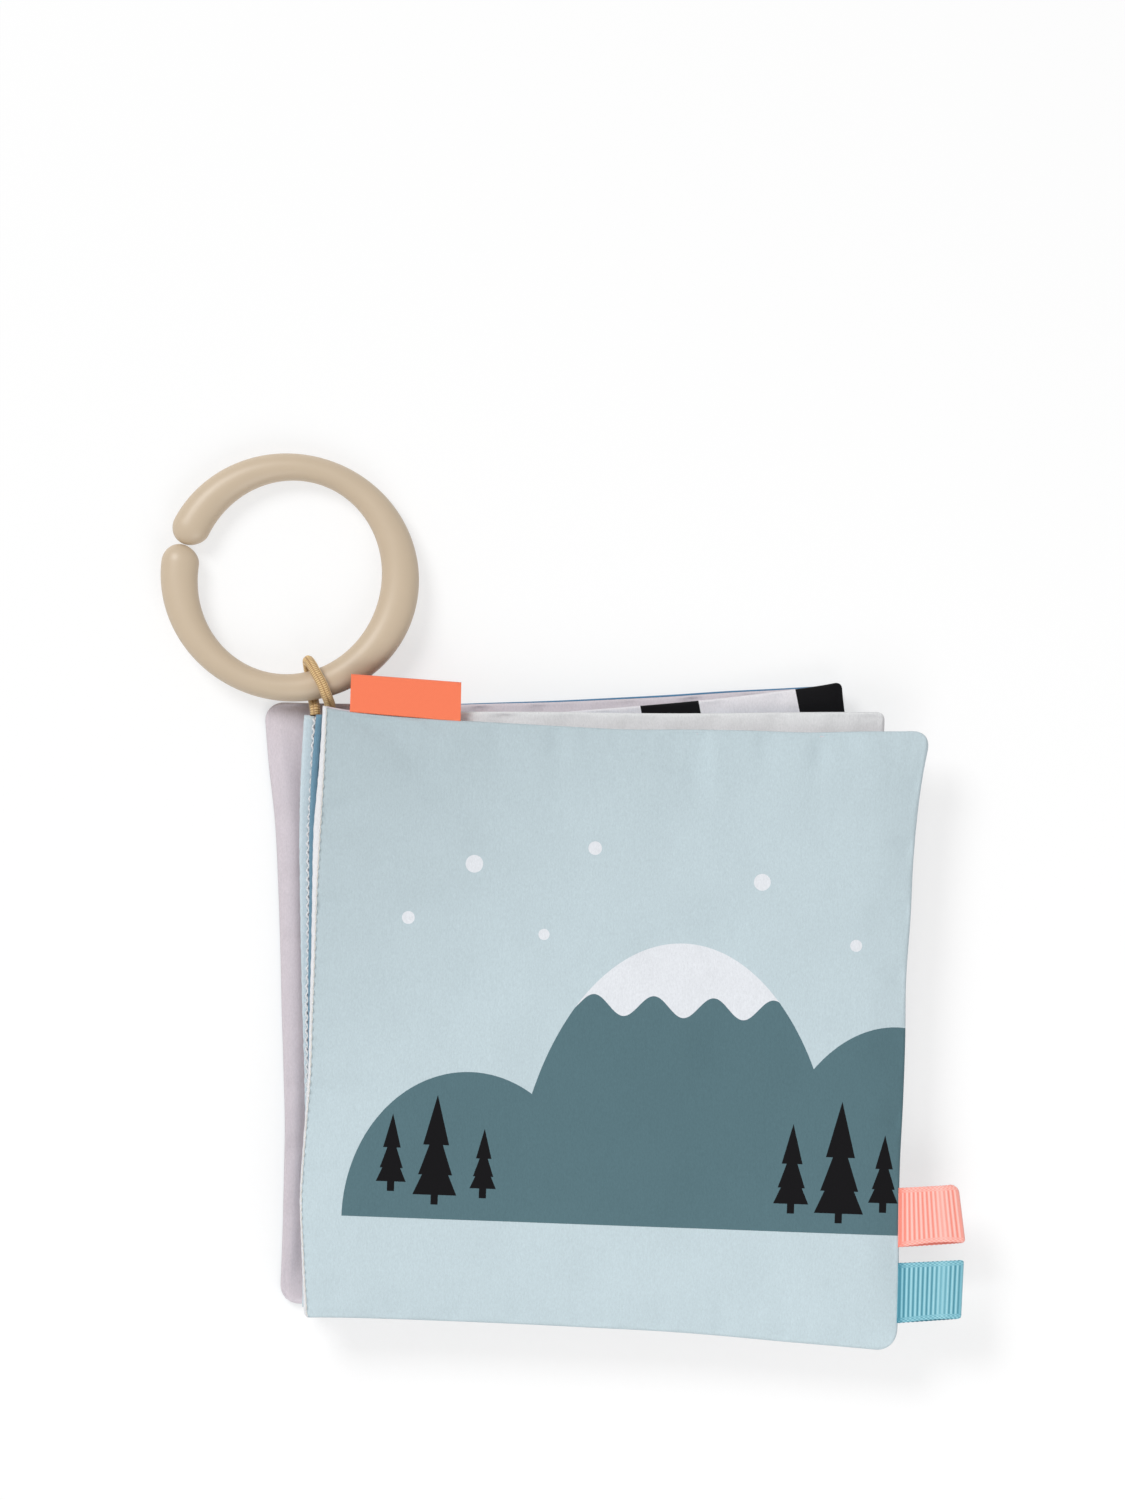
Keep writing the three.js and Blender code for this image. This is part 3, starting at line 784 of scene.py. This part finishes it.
def along_route(points, count):
    """A smooth curve through route points, as evenly spaced points and their distances along it."""
    points = np.asarray(points, float)
    knots = summed(np.sqrt(steps_along(points)))
    slopes = np.gradient(points, knots, axis=0, edge_order=1)
    fine = []
    for i in range(len(points) - 1):
        t = np.linspace(0, 1, ROUTE_STEPS, endpoint=False)[:, None]
        h = knots[i + 1] - knots[i]
        fine.append(
            (2 * t**3 - 3 * t**2 + 1) * points[i] + (t**3 - 2 * t**2 + t) * h * slopes[i]
            + (-2 * t**3 + 3 * t**2) * points[i + 1] + (t**3 - t**2) * h * slopes[i + 1]
        )
    fine = np.concatenate([*fine, points[-1:]])
    lengths = summed(steps_along(fine))
    wanted = np.linspace(0, lengths[-1], count)
    even = np.stack([np.interp(wanted, lengths, fine[:, k]) for k in range(3)], axis=1)
    return even, wanted


def tube(points, sides, radius_at):
    """A closed tube along points. radius_at gives radii from the distance and the angle round it."""
    points = np.asarray(points, float)
    ahead = np.gradient(points, axis=0)
    ahead /= np.linalg.norm(ahead, axis=1, keepdims=True)
    side = np.cross(ahead[0], [0.31, 0.17, 0.93])
    distance = summed(steps_along(points))
    angles = np.arange(sides) * 2 * math.pi / sides
    rings = []
    for i, forward in enumerate(ahead):
        side = side - forward * side.dot(forward)
        side = side / np.linalg.norm(side)
        other = np.cross(forward, side)
        radius = radius_at(distance[i], angles)
        round_it = np.outer(radius * np.cos(angles), side) + np.outer(radius * np.sin(angles), other)
        rings.append(points[i] + round_it)
    count = len(points)
    return np.concatenate(rings), band_faces(np.arange(count * sides).reshape(count, sides))


# Pieces that are sewn on. A fold's two ends are given from the tape's first corner, away from the seam and
# along it.

TAPE = 0.32
FOLD_GAP = 0.14
TUCKED_IN = 0.3
# How much darker a tape's inner skin is painted: painted shade inside the fold.
INNER_SHADE = 0.7
SELVEDGE = np.array((0, 0.12, 0.25, 0.4, 0.55, 0.7, 0.85, 1.0, 1.15, 1.3, 1.5, 1.9))
CHECK_PITCH = 0.75
SELVEDGE_WIDTH = 0.95
RIB_HEIGHT = 0.13
LABEL = {
    "along": 6.95, "width": 27.8, "fold": ((9.2, -0.5), (9.5, 27.1)), "tape": 0.24, "fold_gap": 0.08,
}
CORAL = {
    "along": 113.0, "width": 14.8, "fold": ((14.7, -0.95), (16.6, 13.6)),
    "gape": 0.65, "bulge": 0.9, "rounding": (2.0, 1.1),
}
TEAL = {
    "along": 131.5, "width": 15.0, "fold": ((16.2, -1.1), (15.8, 13.6)),
    "gape": 0.35, "bulge": 0.7, "rounding": (0.7, 0.9),
}


def sewn_axes(seam_point, along, width):
    """Where a tape sewn into a seam starts, with the directions along the seam and away from it."""
    start = seam_point(along)
    seam = seam_point(along + width) - start
    seam = seam / np.linalg.norm(seam)
    return start, seam, np.array([-seam[1], seam[0]])


def top_seam(along):
    return plan(FRONT, along, 0.0)


def right_seam(along):
    return plan(FRONT, FRONT.width, along)


def grosgrain(phase, edge, reach, out):
    """A ribbon's weave and its tone: ribs that weaken in a painted highlight band about two thirds of the way
    out and near the fold, between checked selvedges. The tone also gets painted shade beside the seam.
    """
    strong = (1 - 0.6 * bell(reach - 0.69, 0.07)) * (1 - 0.8 * smooth((reach - 0.93) / 0.05))
    ribs = 0.5 + 0.5 * np.cos(phase) * strong
    checks = 0.55 + 0.4 * np.cos(phase) * np.cos(2 * math.pi * edge / CHECK_PITCH)
    weave = ribs + (checks - ribs) * (1 - smooth((edge - SELVEDGE_WIDTH) / 0.4))
    # A painted highlight across the ribs at about two thirds of the way to the fold, and painted shade beside
    # the seam.
    return weave, weave + 0.15 * bell(reach - 0.68, 0.1) - 0.6 * bell(out, 1.3)


def folded_tape(name, seam_point, along, width, fold, material, body, slot,
                pitch=None, gape=0.0, bulge=0.0, rounding=(0.0, 0.0), tape=TAPE, fold_gap=FOLD_GAP):
    """A tape folded in two and sewn in by both ends, with ribs along its fold where it has a pitch."""
    start, across, away = sewn_axes(seam_point, along, width)
    (near_out, near_along), (far_out, far_along) = fold
    length = (near_out + far_out) / 2
    radius = fold_gap + tape / 2
    straight = length + TUCKED_IN - fold_gap - tape
    bend = math.pi * radius
    total = 2 * straight + bend
    rows = (round(total / pitch) * 8 if pitch else 60) + 1
    inner = np.linspace(SELVEDGE[-1], width - SELVEDGE[-1], 8)
    column = np.concatenate([SELVEDGE[:-1], inner, (width - SELVEDGE[:-1])[::-1]])[None, :]
    share = column / width
    edge = np.minimum(column, width - column)
    distance = np.linspace(0, total, rows)[:, None]
    turn = np.clip((distance - straight) / bend, 0, 1) * math.pi
    out = np.minimum(np.minimum(distance, total - distance), straight) + radius * np.sin(turn)
    up, facing_out, facing_up = radius * np.cos(turn), np.sin(turn), np.cos(turn)
    upper = facing_up * 0.5 + 0.5
    reach = np.clip(out / (length + TUCKED_IN), 0, 1)
    hump = np.sin(math.pi * reach) ** 0.6
    if pitch:
        phase = 2 * math.pi * distance / pitch
        weave, tone = grosgrain(phase, edge, reach, out)
        frill = 0.05 * np.cos(phase) * np.sign(share - 0.5) * (1 - smooth(edge / 0.4))
    else:
        weave = tone = np.full((rows, column.size), 0.5)
        frill = 0.0
    along_by = column + (lerp(near_along, far_along, share) - column) * reach + frill
    along_by = along_by - gape * np.sin(math.pi * reach ** 1.3) ** 0.8 * upper * smooth((share - 0.35) / 0.65)
    stretch = lerp(near_out, far_out, share) / length
    corners = sum(
        rounded * (1 - np.sqrt(1 - np.clip(1 - from_side / max(rounded, 0.01), 0, 1) ** 2))
        for rounded, from_side in zip(rounding, (column, width - column)))
    skins = []
    for skin in (1, -1):
        raised = skin * tape / 2 + RIB_HEIGHT * (weave - 0.5) * (skin > 0)
        away_by = (out + facing_out * raised) * stretch - TUCKED_IN - corners * reach ** 6
        flat = start + along_by[..., None] * across + away_by[..., None] * away
        skins.append(np.dstack([flat, middle_of(FRONT) + up + bulge * hump * upper + facing_up * raised]))
    first = np.arange(rows * column.size).reshape(rows, column.size)
    faces = band_faces(np.concatenate([first, first[:, ::-1] + first.size], axis=1))
    cloud = np.concatenate([skin.reshape(-1, 3) for skin in skins])
    # The inner skin gets painted shade inside the fold.
    rib = np.concatenate([tone.reshape(-1), tone.reshape(-1) - INNER_SHADE])
    add_piece(name, cloud, faces, material, body, slot, (name,), rib=rib)


EDGING_ROWS, EDGING_SIDES, EDGING_HEIGHT, EDGING_LAP = 150, 14, 2.0, 0.25


def squared(value):
    """A section's cosines or sines, for a section between round and square."""
    return np.sign(value) * np.abs(value) ** 0.7


def edging_strip(name, leaf, material, slot, seed):
    """A raw or bound spine edge: a slightly wavy strip beside the leaf's fabrics."""
    y = np.linspace(0.0, leaf.spine_height, EDGING_ROWS)[:, None]
    width = strayed(leaf.edging, y / leaf.spine_height) + EDGING_LAP
    angles = np.linspace(0, 2 * math.pi, EDGING_SIDES, endpoint=False)
    section_x, section_z = squared(np.cos(angles)), squared(np.sin(angles))
    ragged = 0.07 * wave(y * 4.0, seed) + 0.05 * wave(y * 11.0, seed + 2)
    x = 0.02 + width / 2 * (1 + section_x) + ragged * (section_x < -0.3)
    flat = plan(leaf, np.maximum(x, 0), y + 0 * x)
    flat[..., 0] += np.minimum(x, 0)
    up = middle_of(leaf) + EDGING_HEIGHT / 2 * section_z * (1 + 0.06 * wave(y * 3.0, seed + 4))
    faces = band_faces(np.arange(x.size).reshape(x.shape), flip=False)
    add_piece(name, np.dstack([flat, up]).reshape(-1, 3), faces, material, leaf.body, slot, (name,))


STITCH_MARGIN, STITCH_DIP, STITCH_SIDES = 0.6, 0.14, 7


def stitch_row(name, leaf, swing, pitch, radius, height, material, slot):
    """A zigzag of thread along the seam between a leaf's edging and its fabric, dipping in at one side."""
    def twisted(distance, angles):
        return radius * (1 + 0.12 * np.sin(distance * 9 + 2 * angles))

    count = round(leaf.spine_height / pitch) * 2
    y = np.linspace(STITCH_MARGIN, leaf.spine_height - STITCH_MARGIN, count)
    side = np.where(np.arange(count) % 2 == 0, -1.0, 1.0)
    flat = plan(leaf, strayed(leaf.edging, y / leaf.spine_height) + side * swing, y)
    rise = middle_of(leaf) + height + STITCH_DIP * side
    points, _ = along_route(np.column_stack([flat, rise]), count * 8)
    add_piece(name, *tube(points, STITCH_SIDES, twisted), material, leaf.body, slot)


# The ring and its cord

RING_RADIUS = 27.7
RING_WIDTH = 8.1
RING_SWELL = 1.5
RING_THICKNESS = 6.9
RING_FROM_HEAD = (-3.1, 34.7)
SPLIT_ANGLE = 162.6
SPLIT_GAP = 0.16
LOOP_ANGLE = -74.5
LOOP_LIFT = 3.8
RING_FLOOR_GAP = 0.05
RING_SECTIONS, RING_SIDES, END_SECTIONS = 168, 28, 14

CORD_DIAMETER = 2.7
CORD_SECTIONS, CORD_SIDES, CORD_BANDS, BARE_BAND = 560, 48, 6, 0
ROUTE_EVERY = 16
CORD_ROUTE = (
    (-61.5, 46.6, 6.6), (-61.6, 48.2, 6.3), (-61.8, 49.4, 5.0), (-62.1, 50.9, 3.4), (-62.4, 53.2, 2.2),
    (-62.8, 55.9, 2.1), (-63.2, 58.6, 3.6), (-63.3, 60.2, 7.0), (-62.5, 59.4, 10.6), (-61.2, 57.1, 12.6),
    (-59.8, 54.5, 13.1), (-58.7, 51.8, 12.4), (-57.9, 49.7, 10.4), (-57.7, 48.6, 8.2), (-57.7, 46.5, 7.0),
)


def ring_mesh():
    """The split ring: two rounded fat ends that almost touch, and a thinner far side."""
    end_radius = (RING_WIDTH + RING_SWELL) / 2
    first = SPLIT_GAP / 2 / RING_RADIUS
    end_arc = end_radius / RING_RADIUS
    cap = first + end_arc * (1 - np.cos(np.radians(np.linspace(4, 90, END_SECTIONS))))
    between = np.linspace(first + end_arc, 2 * math.pi - first - end_arc, RING_SECTIONS)[1:-1]
    angle = np.concatenate([cap, between, (2 * math.pi - cap)[::-1]])
    from_tip = np.minimum(angle, 2 * math.pi - angle) - first
    size = np.sqrt(np.clip(1 - (1 - np.clip(from_tip / end_arc, 0, 1)) ** 2, 0, 1))
    width = RING_WIDTH + RING_SWELL * np.cos(2 * angle)
    side = np.linspace(0, 2 * math.pi, RING_SIDES, endpoint=False)
    radius = RING_RADIUS + (size * width / 2)[:, None] * np.cos(side)
    height = (size * RING_THICKNESS / 2)[:, None] * np.sin(side)
    cloud = np.stack([radius * np.cos(angle)[:, None], radius * np.sin(angle)[:, None], height], axis=-1)
    tangent = Vector((*direction(LOOP_ANGLE + 90), 0))
    tilt = math.asin(LOOP_LIFT / 2 / RING_RADIUS)
    turn = Matrix.Rotation(-tilt, 3, tangent) @ Matrix.Rotation(math.radians(SPLIT_ANGLE), 3, "Z")
    points = cloud.reshape(-1, 3) @ np.array(turn).T
    centre = [*np.add(THIRD.head, RING_FROM_HEAD), (RING_THICKNESS + LOOP_LIFT) / 2 + RING_FLOOR_GAP]
    return points + centre, band_faces(np.arange(height.size).reshape(height.shape))


def cord_mesh(rib_pitch):
    """The elastic cord: raised crosswise wraps in lengthwise bands, one of them bare."""
    points, distance = along_route(CORD_ROUTE, CORD_SECTIONS)
    angles = np.arange(CORD_SIDES) * 2 * math.pi / CORD_SIDES

    def radius_at(along, angles):
        band = angles * CORD_BANDS / (2 * math.pi) + along * 0.012
        off = 2 * np.abs(band % 1.0 - 0.5)
        bare = np.floor(band) % CORD_BANDS == BARE_BAND
        wrap = np.cos(2 * math.pi * along / rib_pitch + 0.9 * off) * np.where(bare, 0.2, 1.0)
        groove = bell(1 - off, 0.2)
        return CORD_DIAMETER / 2 * (0.965 + 0.042 * wrap * (1 - groove) - 0.05 * groove + 0.02 * bare)

    cloud, faces = tube(points, CORD_SIDES, radius_at)
    radii = np.concatenate([radius_at(along, angles) for along in distance]) / (CORD_DIAMETER / 2)
    # The rib values give painted shade between the wraps and a painted highlight on their tops.
    return points, cloud, faces, np.clip((radii - 0.89) / 0.11, 0, 1)


# Settings that a user may change

def measure(name, description, default):
    return bpy.props.FloatProperty(name=name, description=description, default=default, unit="LENGTH")


class SoftBookSizes(bpy.types.PropertyGroup):
    fabric_thickness: measure("Fabric", "Thickness of the fabric", 0.0005)
    grid_step: measure("Grid step", "Spacing of a leaf's points for the cloth solver", 0.0028)
    pucker_depth: measure("Puckers", "Depth of the puckers beside the seams", 0.00075)
    swell_height: measure("Swells", "Height of the slow swells in the fabric", 0.0011)
    cloth_pressure: bpy.props.FloatProperty(
        name="Filling pressure", description="Pressure that fills the leaves", default=4.0)
    cloth_cap: measure("Filling cap", "How far the filling may move the fabric", 0.0008)
    seam_shrink: bpy.props.FloatProperty(
        name="Seam shrinkage", description="Share by which the stitching draws the seams in", default=0.02)
    weave_pitch: measure("Weave", "Distance between the fabric's threads", 0.00045)
    ribbon_pitch: measure("Ribbon ribs", "Distance between the ribbon's ribs", 0.00114)
    cord_pitch: measure("Cord wraps", "Distance between the cord's wraps", 0.00047)
    stitch_pitch: measure("Stitches", "Length of a zigzag stitch", 0.00225)


def tint(name, description, red, green, blue):
    return bpy.props.FloatVectorProperty(
        name=name, description=description, subtype="COLOR", size=3, min=0, max=1,
        default=linear(red, green, blue))


class SoftBookColours(bpy.types.PropertyGroup):
    pale_blue: tint("Pale blue", "Front cover", 197, 213, 219)
    edging_blue: tint("Edging blue", "Leaf three's edging", 208, 223, 230)
    slate: tint("Slate", "Mountains on the cover", 88, 117, 125)
    print_white: tint("Print white", "Snow and stars on the cover", 229, 232, 237)
    near_black: tint("Near black", "Firs and page bars", 14, 13, 16)
    lilac: tint("Lilac", "Back cover's and front cover's inner sides", 215, 206, 212)
    blue: tint("Blue", "Leaf two's edging and the outer sides", 116, 154, 176)
    deep_blue: tint("Deep blue", "Back of the book", 88, 134, 170)
    page_grey: tint("Page grey", "Leaf two's front page", 226, 227, 228)
    page_white: tint("Page white", "Leaf three's front page", 231, 228, 232)
    thread: tint("Thread", "Cover's overlocked edge", 232, 233, 236)
    stitch_white: tint("Stitch white", "Leaf three's zigzag thread", 253, 253, 254)
    cream: tint("Cream", "Cover's seam thread", 238, 235, 228)
    coral: tint("Coral", "Side label", 255, 130, 92)
    rose: tint("Rose", "Upper ribbon", 255, 182, 170)
    # Rose shade and rose light are painted shade in the upper ribbon's grooves and a painted highlight on its
    # ribs.
    rose_shade: tint("Rose shade", "Upper ribbon's grooves", 247, 140, 124)
    rose_light: tint("Rose light", "Upper ribbon's ribs", 255, 214, 205)
    teal: tint("Teal", "Lower ribbon", 132, 193, 208)
    # Teal shade and teal light are painted shade in the lower ribbon's grooves and a painted highlight on its
    # ribs.
    teal_shade: tint("Teal shade", "Lower ribbon's grooves", 68, 138, 158)
    teal_light: tint("Teal light", "Lower ribbon's ribs", 176, 226, 235)
    gold: tint("Gold", "Elastic cord", 208, 168, 114)
    # Gold shade and gold light are painted shade between the cord's wraps and a painted highlight on their
    # tops.
    gold_shade: tint("Gold shade", "Between the cord's wraps", 122, 80, 46)
    gold_light: tint("Gold light", "Top of the cord's wraps", 255, 230, 174)
    beige: tint("Beige", "Link ring", 207, 188, 163)


# Operators

LENS, SENSOR = 450.0, 36.0
SKY_LIGHT = 0.42
MEASURED_HEIGHT = 12.0
FLOOR_REACH = 4.0
LAMPS = (("key", (-1.25, 1.5, 2.0), 1.2, 41.0), ("fill", (0.15, -0.45, 0.5), 0.5, 1.6))


class SOFTBOOK_OT_stage(bpy.types.Operator):
    """Sets the camera above the book, the studio light and the pale floor"""
    bl_idname = "softbook.stage"
    bl_label = "Stage"

    def execute(self, context):
        scene = context.scene
        tall = PICTURE_SIZE[1] / PIXELS_PER_MM
        centre_x = (PICTURE_SIZE[0] / 2 - ORIGIN_PIXEL[0]) / PIXELS_PER_MM + SHIFT[0]
        centre_y = (ORIGIN_PIXEL[1] - PICTURE_SIZE[1] / 2) / PIXELS_PER_MM + SHIFT[1]
        lens = bpy.data.cameras.new("camera")
        lens.sensor_fit, lens.sensor_height, lens.lens = "VERTICAL", SENSOR, LENS
        camera = linked(bpy.data.objects.new("camera", lens))
        away = tall * LENS / SENSOR + MEASURED_HEIGHT
        camera.location = (centre_x * MM, centre_y * MM, away * MM)
        scene.camera = camera
        scene.view_settings.view_transform = "Standard"

        world = bpy.data.worlds.new("studio")
        scene.world = world
        sky = Tree(world)
        dim, white = (
            sky.add("ShaderNodeBackground", inputs={"Color": (1, 1, 1, 1), "Strength": strength})
            for strength in (SKY_LIGHT, 1.0))
        sky.shown("World Output", (dim, white), sky.add("ShaderNodeLightPath", output="Is Camera Ray"))

        for name, place, size, power in LAMPS:
            lamp = bpy.data.lights.new(name, "AREA")
            lamp.shape, lamp.size, lamp.energy = "DISK", size, power
            light = linked(bpy.data.objects.new(name, lamp))
            light.location = place
            light.rotation_euler = (-Vector(place)).to_track_quat("-Z", "Y").to_euler()

        finish = Finish("floor", 0.9, Specular_IOR_Level=0.0, Base_Color=(0.93, 0.93, 0.93, 1))
        plain = Value(finish, finish.shader.outputs[0])
        glow = finish.add("ShaderNodeEmission", inputs={"Color": (1, 1, 1, 1), "Strength": 1.06})
        seen, mirrored = (
            finish.add("ShaderNodeLightPath", output=ray) for ray in ("Is Camera Ray", "Is Glossy Ray"))
        finish.shown("Material Output", (plain, glow), seen.either(mirrored) * 0.6)
        mesh = bpy.data.meshes.new("floor")
        corners = [(x * FLOOR_REACH, y * FLOOR_REACH, 0) for x, y in ((-1, -1), (1, -1), (1, 1), (-1, 1))]
        mesh.from_pydata(corners, [], [(0, 1, 2, 3)])
        mesh.materials.append(finish.material)
        floor = linked(bpy.data.objects.new("floor", mesh))
        floor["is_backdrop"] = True
        return {"FINISHED"}


class SOFTBOOK_OT_cord(bpy.types.Operator):
    """Makes the elastic cord that is sewn into leaf three and holds the ring"""
    bl_idname = "softbook.cord"
    bl_label = "Elastic cord"

    def execute(self, context):
        colours, sizes = context.scene.soft_book_colours, context.scene.soft_book_sizes
        path, cloud, faces, depth = cord_mesh(sizes.cord_pitch / MM)
        braid = ribbed_finish("gold_cord", colours.gold, colours.gold_shade, colours.gold_light, 0.42)
        name = "elastic_cord_loop"
        # The depth paints shade between the cord's wraps and a highlight on their tops.
        cord = add_piece(name, cloud, faces, braid, "cord_loop", "elastic_cord", (name,), rib=depth)
        route = [Vector(point) for point in ((path[::ROUTE_EVERY] + SHIFT) * MM).tolist()]
        return {"FINISHED"}


class SOFTBOOK_OT_ring(bpy.types.Operator):
    """Makes the split plastic ring"""
    bl_idname = "softbook.ring"
    bl_label = "Link ring"

    def execute(self, context):
        cloud, faces = ring_mesh()
        finish = plastic_finish("beige_plastic", context.scene.soft_book_colours.beige)
        add_piece("link_ring", cloud, faces, finish, "ring", "ring_plastic", ("link_ring",))
        return {"FINISHED"}


class SOFTBOOK_OT_leaves(bpy.types.Operator):
    """Makes the back cover, the two leaves and the front cover from their fabrics"""
    bl_idname = "softbook.leaves"
    bl_label = "Padded leaves"

    def execute(self, context):
        colours = context.scene.soft_book_colours
        white_dots = dotted(colours.page_white)
        pad_leaf(
            BACK, ("back_cover_inner_fabric", colours.lilac, "lilac_fabric", None),
            ("back_cover_outer_fabric", colours.deep_blue, "blue_fabric", None), ("back_cover_wadding",))
        pad_leaf(
            THIRD, ("leaf_three_front_fabric", colours.page_white, "white_fabric", bar_print),
            ("leaf_three_back_fabric", colours.pale_blue, "pale_blue_fabric", white_dots),
            ("leaf_three_wadding",))
        pad_leaf(
            SECOND, ("leaf_two_front_fabric", colours.page_grey, "white_fabric", dotted(colours.slate)),
            ("leaf_two_back_fabric", colours.blue, "blue_fabric", white_dots), ("leaf_two_wadding",))
        pad_leaf(
            FRONT, ("front_cover_outer_fabric", colours.pale_blue, "pale_blue_fabric", mountain_print),
            ("front_cover_inner_fabric", colours.lilac, "lilac_fabric", dotted(colours.pale_blue)),
            ("front_cover_wadding", "front_cover_crinkle_film"))
        return {"FINISHED"}


class SOFTBOOK_OT_spines(bpy.types.Operator):
    """Makes the spine edgings and their rows of thread"""
    bl_idname = "softbook.spines"
    bl_label = "Spine edgings"

    def execute(self, context):
        colours = context.scene.soft_book_colours
        pitch = context.scene.soft_book_sizes.stitch_pitch / MM
        white_thread = thread_finish("white_thread", colours.stitch_white)
        cream_thread = thread_finish("cream_thread", colours.cream)
        for name, leaf, colour, slot, seed in (
            ("leaf_three_spine_edging", THIRD, colours.edging_blue, "pale_blue_fabric", 1.1),
            ("leaf_two_spine_edging", SECOND, colours.blue, "blue_fabric", 2.2),
            ("front_cover_spine_overlock", FRONT, colours.thread, "overlock_thread", 3.3),
        ):
            edging_strip(name, leaf, woven(f"{leaf.body}_edging", colour), slot, seed)
        stitch_row("leaf_three_zigzag", THIRD, 0.24, pitch, 0.3, 1.4, white_thread, "overlock_thread")
        stitch_row("front_cover_zigzag", FRONT, 0.12, pitch, 0.13, 1.0, cream_thread, "overlock_thread")
        return {"FINISHED"}


class SOFTBOOK_OT_tapes(bpy.types.Operator):
    """Makes the side label and the two ribbon loops"""
    bl_idname = "softbook.tapes"
    bl_label = "Label and ribbons"

    def execute(self, context):
        colours = context.scene.soft_book_colours
        pitch = context.scene.soft_book_sizes.ribbon_pitch / MM
        twill = twill_finish("coral_tape", colours.coral)
        rose = ribbed_finish("rose_ribbon", colours.rose, colours.rose_shade, colours.rose_light)
        teal = ribbed_finish("teal_ribbon", colours.teal, colours.teal_shade, colours.teal_light)
        folded_tape("side_label", top_seam, material=twill, body="label", slot="coral_twill", **LABEL)
        folded_tape("coral_ribbon_loop", right_seam, material=rose, body="coral_ribbon",
                    slot="rose_grosgrain", pitch=pitch, **CORAL)
        folded_tape("teal_ribbon_loop", right_seam, material=teal, body="teal_ribbon",
                    slot="teal_grosgrain", pitch=pitch, **TEAL)
        return {"FINISHED"}


class SOFTBOOK_PT_panel(bpy.types.Panel):
    """Lists the book's pieces in the 3D view's sidebar"""
    bl_idname = "SOFTBOOK_PT_panel"
    bl_label = "Soft Book"
    bl_space_type = "VIEW_3D"
    bl_region_type = "UI"
    bl_category = "Soft Book"

    def draw(self, context):
        for operator in OPERATORS:
            self.layout.operator(operator.bl_idname)
        for group in (context.scene.soft_book_sizes, context.scene.soft_book_colours):
            for name in group.__annotations__:
                self.layout.prop(group, name)


GROUPS = (SoftBookSizes, SoftBookColours)
OPERATORS = (
    SOFTBOOK_OT_stage, SOFTBOOK_OT_cord, SOFTBOOK_OT_ring,
    SOFTBOOK_OT_leaves, SOFTBOOK_OT_spines, SOFTBOOK_OT_tapes,
)
CLASSES = (*GROUPS, *OPERATORS, SOFTBOOK_PT_panel)


def register():
    for item in CLASSES:
        bpy.utils.register_class(item)
    bpy.types.Scene.soft_book_sizes = bpy.props.PointerProperty(type=SoftBookSizes)
    bpy.types.Scene.soft_book_colours = bpy.props.PointerProperty(type=SoftBookColours)


def unregister():
    del bpy.types.Scene.soft_book_colours
    del bpy.types.Scene.soft_book_sizes
    for item in reversed(CLASSES):
        bpy.utils.unregister_class(item)


def main():
    register()
    bpy.ops.softbook.stage()
    bpy.ops.softbook.cord()
    bpy.ops.softbook.ring()
    bpy.ops.softbook.leaves()
    bpy.ops.softbook.spines()
    bpy.ops.softbook.tapes()
    boxes = {"cad": cad_box, "visual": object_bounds()}


if __name__ == "__main__":
    main()
